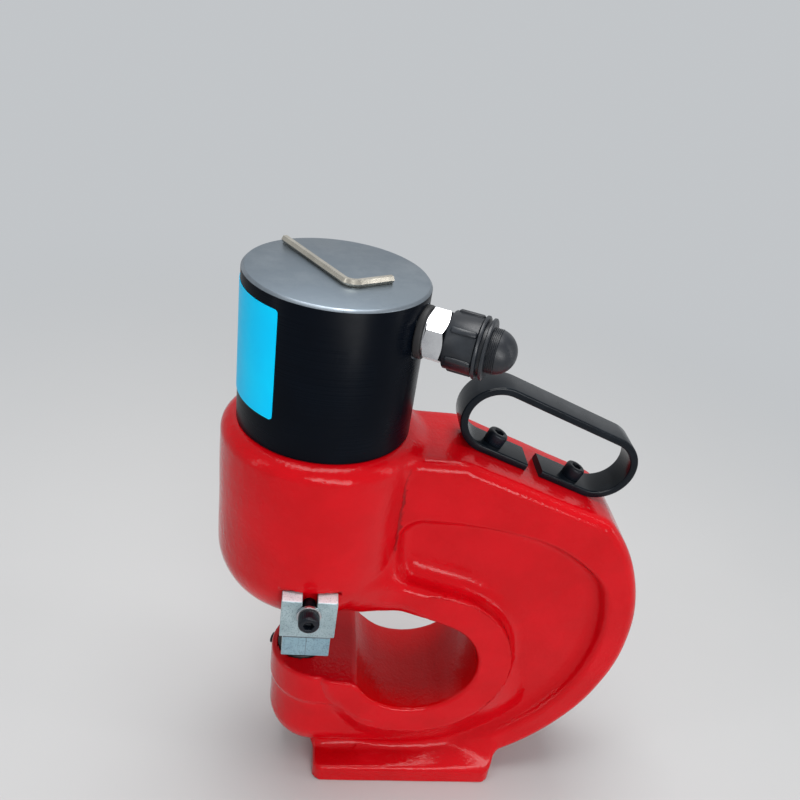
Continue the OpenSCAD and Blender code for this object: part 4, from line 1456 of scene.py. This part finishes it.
@dataclass
class OilPort:
    """Seal, hexagon coupler and dust cap on the port, drawn along the port's axis."""

    bearing: float = -23.0
    height: float = 369.0
    face: float = 50.5
    hex_face: float = 55.0
    nose_face: float = 67.0
    nose_end: float = 89.0
    across: float = 27.0
    chamfer: float = 28.0
    seal_bore: float = 8.1
    seal_r: float = 15.0
    seal_edge: float = 1.3
    oil_r: float = 3.2
    thread_r: float = 8.0
    thread_end: float = 41.0
    washer_r: float = 12.9
    crest_r: float = 12.0
    root_r: float = 11.3
    nose_pitch: float = 1.6
    nose_turns: int = 12
    valve_r: float = 5.5
    valve_floor: float = 68.0
    cap_face: float = 67.3
    cap_r: float = 16.0
    cap_bore: float = 12.3
    cap_floor: float = 89.3
    skirt_len: float = 17.0
    disc_r: float = 17.5
    stub_r: float = 12.0
    stub_ridges: int = 5
    stub_pitch: float = 0.95
    dome_h: float = 10.0
    dome_base: float = 11.0
    dome_rings: int = 13
    dome_turn: float = 7.3
    rib_count: int = 6
    rib_first: float = 47.0
    rib_low: float = 2.0
    rib_high: float = 16.4
    rib_half: float = 1.8
    rib_h: float = 1.2
    sides: int = 96

    def matrix(self) -> np.ndarray:
        """Rotation that lays Z along the port."""
        return turn("Z", self.bearing) @ turn("Y", 90.0)

    def set_out(self, shell: Shell, name: str) -> bpy.types.Mesh:
        """The mesh of a shell drawn along the port."""
        return shell.moved(self.matrix(), (0.0, 0.0, self.height)).to_mesh(name)

    def seal(self) -> Shell:
        """The bonded washer: a rubber ring between cylinder and hexagon.

        Returns:
            Its shell.
        """
        bore, rim = self.seal_bore, self.seal_r
        outline = [(bore, self.face), (rim, self.face), (rim, self.hex_face), (bore, self.hex_face)]
        return lathe(eased(outline, self.seal_edge, 4, True), self.sides)

    def coupler(self) -> Shell:
        """Thread, chamfered hexagon with washer faces, and the nose the hose screws on.

        Returns:
            Its shell.
        """
        corner = hexagon_radius(self.across, self.sides)
        round_r = self.across / 2 - 0.35
        cut = np.minimum(corner, round_r + 0.5)
        fall = np.maximum(corner - round_r - 0.5, 0.0) * math.tan(math.radians(self.chamfer))
        low, high = self.hex_face + 0.7, self.nose_face - 0.2
        rows = [(self.oil_r, self.thread_end), (self.thread_r - 0.6, self.thread_end)]
        rows += [(self.thread_r, self.thread_end + 0.8), (self.thread_r, self.hex_face)]
        rows += [(self.washer_r, self.hex_face), (self.washer_r, low), (round_r, low)]
        rows += [(cut, low + 0.12), (corner, low + 0.2 + fall)]
        rows += [(corner, high - 0.2 - fall), (cut, high - 0.12), (round_r, high)]
        rows += [(self.root_r, high), (self.root_r, self.nose_face + 1.2)]
        for k in range(self.nose_turns):
            z = self.nose_face + self.nose_pitch * (k + 1)
            rows += [(self.crest_r, z + 0.2), (self.crest_r, z + 0.6)]
            rows += [(self.root_r, z + 1.0), (self.root_r, z + 1.4)]
        rows += [(self.root_r - 0.5, self.nose_end), (self.valve_r, self.nose_end)]
        rows += [(self.valve_r, self.valve_floor), (self.oil_r, self.valve_floor)]
        return lathe(rows, self.sides)

    def cap(self) -> Shell:
        """The cap's body: skirt, two discs with a groove, ridged stub and dome.

        Returns:
            Its shell.
        """
        face, end = self.cap_face, self.cap_face + self.skirt_len
        skirt, disc, stub, dome = self.cap_r, self.disc_r, self.stub_r, self.dome_h
        outline = [(0.2, self.cap_floor), (self.cap_bore, self.cap_floor), (self.cap_bore, face)]
        outline += [(skirt - 0.5, face), (skirt, face + 0.6), (skirt, end - 0.6), (skirt - 0.8, end)]
        outline += [(disc - 0.5, end), (disc, end + 0.4), (disc, end + 1.5), (disc - 0.5, end + 2.0)]
        outline += [(disc - 3.0, end + 2.1), (disc - 3.0, end + 3.7), (disc - 1.0, end + 4.0)]
        outline += [(disc - 0.5, end + 4.4), (disc - 0.5, end + 5.5), (disc - 1.1, end + 6.0)]
        outline += [(stub + 0.1, end + 6.1)]
        for k in range(self.stub_ridges):
            z = end + 6.3 + self.stub_pitch * k
            outline += [(stub, z), (stub + 0.5, z + 0.2), (stub + 0.5, z + 0.5), (stub, z + 0.7)]
        sphere = ((stub + 0.2) ** 2 + dome ** 2) / (2 * dome)
        for k in range(self.dome_rings):
            lift = dome * math.sin(math.radians(k * self.dome_turn))
            square = sphere ** 2 - (lift + sphere - dome) ** 2
            outline.append((math.sqrt(max(square, 0.04)), end + self.dome_base + lift))
        return lathe(outline, self.sides, False)

    def rib(self) -> Shell:
        """One rounded rib of the skirt, standing on X and running along Z.

        Returns:
            Its shell.
        """
        low, high = self.cap_face + self.rib_low, self.cap_face + self.rib_high
        ends = ((0.0, 0.75), (0.3, 0.35), (1.0, 0.0))
        rows = [(low + inset, shrink) for inset, shrink in ends]
        rows += [(high - inset, shrink) for inset, shrink in reversed(ends)]
        rings = []
        for z, shrink in rows:
            h, w = self.rib_h * (1 - 0.9 * shrink), self.rib_half * (1 - 0.5 * shrink)
            flank = [(-0.8, w), (0.35 * h, w), (0.8 * h, 0.82 * w), (h, 0.5 * w)]
            arc = [(x, -y) for x, y in flank] + flank[::-1]
            rings.append(np.array([(x, y, z) for x, y in arc]))
        return loft(rings)

    def build(self) -> None:
        """Makes the seal, coupler, cap and ribs, and dresses the valve inside."""
        washer = self.set_out(self.seal(), "port_washer")
        piece("port_washer", washer, [SEAL_RUBBER], Body.FRAME, ["port_seal"])
        coupler = self.set_out(self.coupler(), "coupler_hexagon")
        piece("coupler_hexagon", coupler, [COUPLER_PLATE], Body.FRAME, ["coupler_body"], sharp=25.0)
        cap = self.set_out(self.cap(), "cap_body")
        piece("cap_body", cap, [CAP_PLASTIC], Body.DUST_CAP, ["dust_cap"], sharp=50.0)
        values = {"Count": self.rib_count, "Radius": self.cap_r * MM, "First": math.radians(self.rib_first)}
        values |= {"Template": template_object("cap_rib", self.rib()), "Material": CAP_PLASTIC.material()}
        ribs = RingTree().run("cap_ribs", np.zeros((1, 3)), [], values)
        ribs = lifted(ribs, self.matrix(), (0.0, 0.0, self.height))
        piece("cap_ribs", ribs, [CAP_PLASTIC], Body.DUST_CAP, (), sharp=50.0)
        dress("coupler_ball", BALL_STEEL)
        dress("coupler_retainer", PISTON_STEEL)


# Cylinder


@dataclass
class HydraulicCylinder:
    """The closed black cylinder with its label."""

    radius: float = 52.0
    low: float = 298.0
    top: float = 390.0
    chamfer: float = 1.5
    chamber_r: float = 40.0
    chamber_top: float = 378.0
    skirt_r: float = 46.0
    skirt_low: float = 262.0
    groove_r: float = 42.9
    groove_low: float = 287.4
    groove_high: float = 290.6
    port_hole_r: float = 8.05
    spot_face_r: float = 16.0
    port_reach: tuple[float, float] = (36.0, 58.0)
    label_turn: float = 235.0
    label_w: float = 70.0
    label_low: float = 318.0
    label_h: float = 64.0
    label_corner: float = 2.2
    label_lift: tuple[float, float] = (0.05, 0.42)
    label_rows: int = 22
    label_columns: int = 56
    sides: int = 192

    def shell(self) -> Shell:
        """The cylinder's skirt, groove, side, chamfer, top and bore.

        Returns:
            Its shell.
        """
        r, c = self.radius, self.chamfer
        bore = [(self.chamber_r, self.chamber_top), (self.chamber_r, self.skirt_low)]
        bore += [(self.skirt_r, self.skirt_low), (self.skirt_r, self.groove_low)]
        bore += [(self.groove_r, self.groove_low), (self.groove_r, self.groove_high)]
        bore += [(self.skirt_r, self.groove_high), (self.skirt_r, self.low)]
        side = [(r - 0.5, self.low), (r, self.low + 0.5), (r, self.top - c - 0.25), (r - 0.12, self.top - c)]
        edge = [(r - c, self.top - 0.12), (r - c - 0.25, self.top)]
        finishes = [0] * (len(bore) + len(side) - 1) + [1, 2, 0, 2]
        return lathe(bore + side + edge, self.sides, False, finishes)

    def drilled(self, port: OilPort) -> bpy.types.Mesh:
        """The cylinder with the port's spot face and hole cut out.

        Args:
            port: The oil port that is let into it.

        Returns:
            The cut mesh.
        """
        inner, outer = self.port_reach
        outline = [(self.port_hole_r, inner), (self.port_hole_r, port.face)]
        outline += [(self.spot_face_r, port.face), (self.spot_face_r, outer)]
        tool = lathe(outline, 72, False, [0, 1, 1, 1, 1])
        blank = linked("cylinder_blank", self.shell().to_mesh("cylinder_blank"))
        cutter = linked("port_cutter", port.set_out(tool, "port_cutter"))
        for obj in (blank, cutter):
            for finish in CYLINDER_FINISHES:
                obj.data.materials.append(finish.material())
        cut = blank.modifiers.new("port", "BOOLEAN")
        cut.operation, cut.solver, cut.object = "DIFFERENCE", "EXACT", cutter
        bpy.context.view_layer.update()
        mesh = bpy.data.meshes.new_from_object(blank.evaluated_get(bpy.context.evaluated_depsgraph_get()))
        bpy.data.objects.remove(blank)
        bpy.data.objects.remove(cutter)
        return mesh

    def label(self) -> Shell:
        """The label: a thin curved film with rounded corners.

        Returns:
            Its shell.
        """
        columns, corner, high = self.label_columns, self.label_corner, self.label_h
        near = [corner * (1 - math.cos(math.radians(a))) for a in range(0, 91, 10)]
        middle = list(np.linspace(corner, high - corner, self.label_rows)[1:-1])
        rows = near + middle + [high - v for v in reversed(near)]
        layers = []
        for radius in (self.radius + lift for lift in self.label_lift):
            for height in rows:
                edge = min(height, high - height)
                inset = corner - math.sqrt(max(corner ** 2 - max(corner - edge, 0.0) ** 2, 0.0))
                span = np.linspace(inset, self.label_w - inset, columns) / self.radius
                angle = math.radians(self.label_turn) - span
                level = np.full(columns, self.label_low + height)
                layers.append(np.stack([radius * np.cos(angle), radius * np.sin(angle), level], 1))
        count, size, faces = len(rows), len(rows) * columns, []
        for i in range(count - 1):
            for k in range(columns - 1):
                a, b = i * columns + k, (i + 1) * columns + k
                faces.append((size + a, size + b, size + b + 1, size + a + 1))
                faces.append((a, a + 1, b + 1, b))
        border = list(range(columns)) + [i * columns + columns - 1 for i in range(1, count)]
        border += [(count - 1) * columns + k for k in range(columns - 2, -1, -1)]
        border += [i * columns for i in range(count - 2, 0, -1)]
        for a, b in zip(border, border[1:] + border[:1]):
            faces.append((b, a, size + a, size + b))
        return Shell(np.vstack(layers), faces, [0] * len(faces))

    def build(self, port: OilPort) -> None:
        """Makes the cylinder and label, and dresses the ring on its skirt.

        Args:
            port: The oil port that is let into the cylinder.
        """
        piece("cylinder_body", self.drilled(port), CYLINDER_FINISHES, Body.FRAME, ["cylinder"], sharp=30.0)
        label = self.label().to_mesh("blank_label")
        piece("blank_label", label, [BLANK_LABEL], Body.FRAME, ["label"], sharp=60.0)
        dress("cylinder_o_ring", SEAL_RUBBER)


# Ram


@dataclass
class RamGroup:
    """Piston, ram, punch and die, the guide in the head, and the coil that lifts the ram."""

    spring_low: float = 203.0
    spring_high: float = 336.0
    spring_d: float = 56.0
    spring_wire: float = 7.0
    spring_turns: int = 8
    valve_low: float = 77.2
    valve_high: float = 85.7
    valve_d: float = 6.0
    valve_wire: float = 0.8
    valve_turns: int = 4
    closed_gap: float = 0.6
    turn_steps: int = 40
    stroke: float = 25.0

    def coil(self, mean: float, turns: int, wire: float, low: float, high: float) -> np.ndarray:
        """Centre line of a spring with closed ends.

        Args:
            mean: Mean diameter of the turns.
            turns: Number of turns, the first and last closed.
            wire: Diameter of the wire.
            low: Height of the lower end.
            high: Height of the upper end.

        Returns:
            Points along the wire.
        """
        u = np.linspace(0.0, turns, self.turn_steps * turns + 1)
        dead = wire + self.closed_gap
        live = high - low - wire - 2 * dead
        rise = np.interp(u, [0, 1, turns - 1, turns], [0, dead, dead + live, 2 * dead + live])
        angle = 2 * math.pi * u
        return np.stack([mean / 2 * np.cos(angle), mean / 2 * np.sin(angle), low + wire / 2 + rise], 1)

    def wound(self, name: str, path: np.ndarray, wire: float) -> bpy.types.Mesh:
        """A round wire along a path.

        Args:
            name: Name of the mesh.
            path: Points along the wire in metres.
            wire: Diameter of the wire in millimetres.

        Returns:
            The mesh.
        """
        values = {"Width": wire / 2 * MM, "Sides": 16, "Material": SPRING_STEEL.material()}
        return SweepTree(Section.WIRE).run(name, path, chain(len(path)), values)

    def springs(self, port: OilPort) -> None:
        """Winds the return spring, which the ram squashes, and the valve's spring.

        Args:
            port: The oil port, whose valve has a spring.
        """
        low, high = self.spring_low, self.spring_high
        path = placed(self.coil(self.spring_d, self.spring_turns, self.spring_wire, low, high))
        mesh = self.wound("return_coil", path, self.spring_wire)
        spring = piece("return_coil", mesh, [SPRING_STEEL], Body.FRAME, ["return_spring"], sharp=60.0)
        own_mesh(spring)
        low, high = self.valve_low, self.valve_high
        path = self.coil(self.valve_d, self.valve_turns, self.valve_wire, low, high) * MM
        mesh = self.wound("valve_coil", path, self.valve_wire)
        mesh = lifted(mesh, port.matrix(), (0.0, 0.0, port.height))
        piece("valve_coil", mesh, [SPRING_STEEL], Body.FRAME, ["coupler_spring"], sharp=60.0)

    def build(self, port: OilPort) -> None:
        """Makes the springs and dresses the turned pieces.

        Args:
            port: The oil port, whose valve has a spring.
        """
        self.springs(port)
        for node, body, width in (("die", Body.FRAME, 0.6), ("punch_nut", Body.RAM, 0.7)):
            piece(node + "_eased", softened(node, width), [DIE_STEEL], body, [node])
        dressed = {
            "punch": PUNCH_STEEL,
            "ram": RAM_STEEL,
            "piston": PISTON_STEEL,
            "piston_seal": SEAL_RUBBER,
            "piston_wear_ring": WEAR_PLASTIC,
            "piston_screw": SCREW_BLACK,
            "guide_bush": BUSH_BRONZE,
            "wiper_ring": SEAL_RUBBER,
            "spring_seat": PISTON_STEEL,
            "die_set_screw": SCREW_BLACK,
        }
        for node, finish in dressed.items():
            dress(node, finish)


# Screws, strippers and handle


@dataclass
class SocketScrew:
    """A knurled socket head screw, its head standing on Z from the origin."""

    head_r: float = 6.5
    head_h: float = 8.0
    shank_r: float = 4.0
    shank_len: float = 24.0
    flats: float = 6.0
    socket: float = 4.2
    knurls: int = 30
    knurl_depth: float = 0.2

    def shell(self) -> Shell:
        """The screw as one skin.

        Returns:
            Its shell.
        """
        comb = self.head_r - np.tile([0.0, 0.0, self.knurl_depth, self.knurl_depth], self.knurls)
        count, head, top = len(comb), self.head_r, self.head_h
        hexagon = hexagon_radius(self.flats, count)
        rows = [(self.shank_r - 0.6, -self.shank_len), (self.shank_r, -self.shank_len + 0.6)]
        rows += [(self.shank_r, 0.0), (head - 0.6, 0.0), (head - 0.25, 0.3), (comb, 0.7), (comb, top - 1.5)]
        rows += [(head - 0.15, top - 1.0), (head - 0.5, top - 0.4)]
        rows += [(head - 1.1, top - 0.05), (head - 1.6, top)]
        rows += [(hexagon + 0.45, top), (hexagon + 0.1, top - 0.2), (hexagon, top - 0.5)]
        rows += [(hexagon, top - self.socket), (hexagon * 0.5, top - self.socket - 0.6)]
        return lathe(rows, count, False)


def set_screws(
    name: str, screw: SocketScrew, points: Sequence[Triple], facing: Sequence[Triple], node: str
) -> None:
    """Sets one kind of screw on points and makes them the piece for a CAD node.

    Args:
        name: Name of the piece.
        screw: The screw that is copied.
        points: Where each head sits, in millimetres.
        facing: Which way each head faces.
        node: The CAD node that they stand for.
    """
    values = {"Template": template_object(name + "_one", screw.shell()), "Material": SCREW_BLACK.material()}
    mesh = ScatterTree().run(name, placed(np.array(points, float)), [], values, np.array(facing, float))
    piece(name, mesh, [SCREW_BLACK], Body.FRAME, [node], sharp=32.0)


@dataclass
class Strippers:
    """The slotted stripper blocks, their screws and spring washers."""

    washer_r: float = 7.5
    washer_bore: float = 4.2
    washer_t: float = 2.2
    neck_h: float = 18.5
    # Height of the band under the step that is painted as shadow.
    shade_band_h: float = 2.6
    line_half: float = 0.16
    facing: float = 0.8
    screw_len: float = 22.0

    @property
    def screw_z(self) -> float:
        """Height of the screws, from the frame."""
        low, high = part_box("stripper_screws")
        return (low.z + high.z) / 2 / MM

    def washers(self) -> Shell:
        """Both split spring washers.

        Returns:
            Their shell.
        """
        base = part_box("stripper_washers")[1].y / MM - self.washer_t
        bore, rim, thick = self.washer_bore, self.washer_r, self.washer_t
        one = lathe(eased([(bore, 0.0), (rim, 0.0), (rim, thick), (bore, thick)], 0.4, 2, True), 64)
        near, far = (one.moved(turn("X", -90.0 * end), (0.0, end * base, self.screw_z)) for end in (-1, 1))
        return near.plus(far)

    def mark(self, block: bpy.types.Mesh) -> None:
        """Numbers a block's faces: plate, near-white tops as painted top light, neck, painted shadow under
        the step, and the scribed line.

        Args:
            block: Mesh of the block, cut along the edges of the painted shadow band and the scribed line.
        """
        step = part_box("stripper_front")[0].z / MM + self.neck_h
        work = bmesh.new()
        work.from_mesh(block)
        cuts = [((0.0, 0.0, step - self.shade_band_h), (0, 0, 1)), ((-self.line_half, 0.0, 0.0), (1, 0, 0))]
        cuts += [((self.line_half, 0.0, 0.0), (1, 0, 0))]
        for spot, across in cuts:
            everything = [*work.verts, *work.edges, *work.faces]
            place = placed(np.array(spot)).tolist()
            bmesh.ops.bisect_plane(work, geom=everything, plane_co=place, plane_no=across)
        for face in work.faces:
            middle = face.calc_center_median() / MM
            # Faces that look up get the near-white top finish, a painted top light.
            if face.normal.z > self.facing:
                face.material_index = 1
            elif middle.z < step - 0.1 and abs(face.normal.y) > self.facing:
                # Below the step, the band just under it and the scribed line get the painted shadow; other
                # neck faces get the neck's tone.
                shaded_or_scribed = middle.z > step - self.shade_band_h or abs(middle.x + FOOT_MID) < self.line_half
                face.material_index = 3 if shaded_or_scribed else 2
        work.to_mesh(block)
        work.free()

    def build(self) -> None:
        """Makes the blocks, washers and screws."""
        for end, body in (("front", Body.STRIPPER_FRONT), ("rear", Body.STRIPPER_REAR)):
            block = softened("stripper_" + end, 0.7, 3)
            self.mark(block)
            piece("stripper_block_" + end, block, STRIPPER_FINISHES, body, ["stripper_" + end])
        washers = self.washers().to_mesh("stripper_spring_washers")
        piece("stripper_spring_washers", washers, [WASHER_PLATE], Body.FRAME, ["stripper_washers"])
        screw = SocketScrew(shank_len=self.screw_len)
        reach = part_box("stripper_screws")[1].y / MM - screw.head_h
        points = [(0.0, side * reach, self.screw_z) for side in (-1, 1)]
        facing = [(0.0, side, 0.0) for side in (-1, 1)]
        set_screws("stripper_cap_screws", screw, points, facing, "stripper_screws")


@dataclass
class Handle:
    """The strap bent into a loop on the arm's slope, with its two screws."""

    length: float = 126.0
    height: float = 47.0
    strap: float = 5.0
    width: float = 22.0
    gap: float = 11.0
    pitch: float = 60.0
    along: float = 49.0
    edge: float = 1.1
    edge_steps: int = 4
    straight: float = 6.0
    slope: float = 20.0
    start: tuple[float, float] = (87.5, 292.0)

    def on_slope(self, along: float, above: float) -> tuple[float, float, float]:
        """A point so far down the slope and above it."""
        c, s = math.cos(math.radians(self.slope)), math.sin(math.radians(self.slope))
        return (self.start[0] + along * c + above * s, 0.0, self.start[1] - along * s + above * c)

    def path(self) -> np.ndarray:
        """Centre line of the strap about the loop's middle, in millimetres.

        Returns:
            Its points.
        """
        r, reach = (self.height - self.strap) / 2, (self.length - self.height) / 2
        inner = reach - self.straight
        right = [(reach + r * math.cos(a), r * math.sin(a)) for a in np.radians(np.arange(-90, 91, 4))]
        left = [(-reach + r * math.cos(a), r * math.sin(a)) for a in np.radians(np.arange(90, 271, 4))]
        flat = [(self.gap / 2, -r), (inner, -r)] + right + [(inner, r), (-inner, r)]
        flat += left + [(-inner, -r), (-self.gap / 2, -r)]
        return np.array([(x, y, 0.0) for x, y in flat])

    def build(self) -> None:
        """Makes the strap and sets its screws."""
        path = self.path() * MM
        values = {"Width": self.width * MM, "Thickness": self.strap * MM, "Edge": self.edge * MM}
        values |= {"Sides": self.edge_steps, "Material": STRAP_PAINT.material()}
        mesh = SweepTree(Section.STRAP).run("handle_strap", path, chain(len(path)), values)
        matrix = turn("Y", self.slope) @ turn("X", 90.0)
        mesh = lifted(mesh, matrix, self.on_slope(self.along, self.height / 2))
        mesh.shade_smooth()
        piece("handle_strap", mesh, [STRAP_PAINT], Body.FRAME, ["handle"])
        up = (math.sin(math.radians(self.slope)), 0.0, math.cos(math.radians(self.slope)))
        points = [self.on_slope(self.along + end * self.pitch / 2, self.strap) for end in (-1, 1)]
        set_screws("handle_cap_screws", SocketScrew(), points, [up, up], "handle_screws")


@dataclass
class HexKey:
    """The bent hexagon key that lies on the cylinder."""

    flats: float = 4.0
    long_arm: float = 68.0
    short_arm: float = 27.0
    bend: float = 6.0
    spot: Triple = (5.5, -23.0, 392.15)
    bearing: float = 32.0

    def build(self) -> None:
        """Sweeps the hexagon along the bent path."""
        bend, angles = self.bend, np.radians(np.arange(0, 91, 6))
        flat = [(0.0, self.long_arm), (0.0, self.long_arm / 2)]
        flat += [(bend - bend * math.cos(a), bend - bend * math.sin(a)) for a in angles]
        flat += [(self.short_arm / 2, 0.0), (self.short_arm, 0.0)]
        path = np.array([(x, y, 0.0) for x, y in flat]) * MM
        values = {"Width": self.flats / math.sqrt(3) * MM, "Sides": 6, "Material": KEY_PLATE.material()}
        mesh = SweepTree(Section.HEXAGON).run("bent_key", path, chain(len(path)), values)
        mesh = lifted(mesh, turn("Z", self.bearing), self.spot)
        mesh.shade_smooth()
        piece("bent_key", mesh, [KEY_PLATE], Body.HEX_KEY, ["hex_key"], sharp=35.0)


# Studio


@dataclass
class Studio:
    """Floor, lamps, sky and camera."""

    azimuth: float = -11.1918
    elevation: float = 34.1242
    roll: float = 10.6517
    distance: float = 524.243
    target: Triple = (65.740, 0.0, 256.393)
    focal_px: float = 809.823
    centre_px: tuple[float, float] = (420.440, 480.376)
    image_px: float = 800.0
    sensor: float = 36.0
    pale: Triple = (0.54, 0.56, 0.58)
    fill: Triple = (0.30, 0.31, 0.32)
    floor_dark: Triple = (0.52, 0.52, 0.52)
    floor_light: Triple = (0.55, 0.55, 0.55)
    floor_half: float = 9.0
    floor_fade: tuple[float, float] = (0.3, 1.2)
    aim: Triple = (0.0, 0.0, 0.2)

    def camera(self) -> None:
        """Sets the camera at the viewing angle and framing."""
        a, e, roll = (math.radians(v) for v in (self.azimuth, self.elevation, self.roll))
        back = np.array([math.sin(a) * math.cos(e), -math.cos(a) * math.cos(e), math.sin(e)])
        level = np.cross(-back, (0.0, 0.0, 1.0))
        level /= np.linalg.norm(level)
        upright = np.cross(level, -back)
        right = level * math.cos(roll) + upright * math.sin(roll)
        up = upright * math.cos(roll) - level * math.sin(roll)
        data = bpy.data.cameras.new("camera")
        data.sensor_width, data.lens = self.sensor, self.focal_px / self.image_px * self.sensor
        data.shift_x = (self.image_px / 2 - self.centre_px[0]) / self.image_px
        data.shift_y = (self.centre_px[1] - self.image_px / 2) / self.image_px
        data.clip_start, data.clip_end = 0.01, 50.0
        obj = linked("camera", data)
        spot = placed(np.array(self.target) + back * self.distance)
        turned = Matrix(np.stack([right, up, back], 1).tolist()).to_4x4()
        obj.matrix_world = Matrix.Translation(spot.tolist()) @ turned
        bpy.context.scene.camera = obj

    def lamp(self, name: str, spot: Triple, size: tuple[float, float], power: float) -> None:
        """Hangs one soft lamp that points at the object.

        Args:
            name: Name of the lamp.
            spot: Where it hangs, in metres.
            size: Its width and height.
            power: Its power in watts.
        """
        data = bpy.data.lights.new(name, "AREA")
        data.shape, data.size, data.size_y, data.energy = "RECTANGLE", size[0], size[1], power
        away = np.array(spot, float) - np.array(self.aim, float)
        away /= np.linalg.norm(away)
        side = np.cross((0.0, 1.0, 0.0), away)
        side /= np.linalg.norm(side)
        turned = Matrix(np.stack([side, np.cross(away, side), away], 1).tolist()).to_4x4()
        obj = linked(name, data)
        obj.matrix_world = Matrix.Translation(spot) @ turned
        obj.visible_camera = False

    def sky(self) -> None:
        """A sky that is pale to look at and lights the object more gently."""
        world = bpy.data.worlds.new("studio_sky")
        world.use_nodes = True
        tree = TreeMaker(world.node_tree)
        seen = tree.seen()
        fill = tree.add("ShaderNodeBackground", {"Color": (*self.fill, 1.0), "Strength": 1.0}).outputs[0]
        pale = tree.add("ShaderNodeBackground", {"Color": (*self.pale, 1.0), "Strength": 1.0}).outputs[0]
        mixed = tree.add("ShaderNodeMixShader", {0: seen, 1: fill, 2: pale}).outputs[0]
        tree.add("ShaderNodeOutputWorld", {"Surface": mixed})
        bpy.context.scene.world = world

    def floor(self) -> None:
        """A wide pale floor that keeps the shadow and fades into the pale backdrop."""
        tree = ShaderTree("pale_floor")
        colour = tree.blend(tree.noise(3.0, 4.0, 0.6), self.floor_dark, self.floor_light)
        normal = tree.bump(tree.noise(400.0), 0.05, 0.05)
        material = tree.surface(Base_Color=colour, Roughness=0.8, Normal=normal)
        x, y = tree.split(tree.here)[:2]
        far = tree.ranged(tree.reach(x, y), *self.floor_fade, 0.0, 1.0)
        pale = tree.add("ShaderNodeEmission", {"Color": (*self.pale, 1.0), "Strength": 1.0}).outputs[0]
        amount = tree.calc("MULTIPLY", tree.seen(), far)
        mixed = tree.add("ShaderNodeMixShader", {0: amount, 1: tree.bsdf.outputs[0], 2: pale}).outputs[0]
        tree.tree.links.new(mixed, tree.output.inputs["Surface"])
        mesh = bpy.data.meshes.new("floor")
        half = self.floor_half
        corners = [(-half, -half, 0), (half, -half, 0), (half, half, 0), (-half, half, 0)]
        mesh.from_pydata(corners, [], [(0, 1, 2, 3)])
        mesh.materials.append(material)
        linked("floor", mesh)

    def build(self) -> None:
        """Sets up the whole studio."""
        self.camera()
        self.sky()
        self.floor()
        self.lamp("front_panel", (0.5, -2.45, 0.85), (2.3, 0.7), 46.0)
        self.lamp("left_strip", (-2.6, -0.9, 0.65), (3.2, 0.3), 8.0)
        self.lamp("right_strip", (2.6, -0.6, 0.65), (3.2, 0.3), 12.0)
        self.lamp("back_panel", (0.3, 1.7, 1.4), (3.0, 1.5), 3.0)
        self.lamp("overhead", (-0.1, 0.1, 2.0), (1.2, 1.2), 31.0)


def main() -> None:
    """Builds the studio and every sub-assembly."""
    logging.basicConfig(level=logging.INFO, format="%(name)s: %(message)s")
    bpy.context.scene.view_settings.view_transform = "Standard"
    Studio().build()
    port = OilPort()
    Casting().build()
    HydraulicCylinder().build(port)
    port.build()
    RamGroup().build(port)
    Strippers().build()
    Handle().build()
    HexKey().build()


if __name__ == "__main__":
    main()
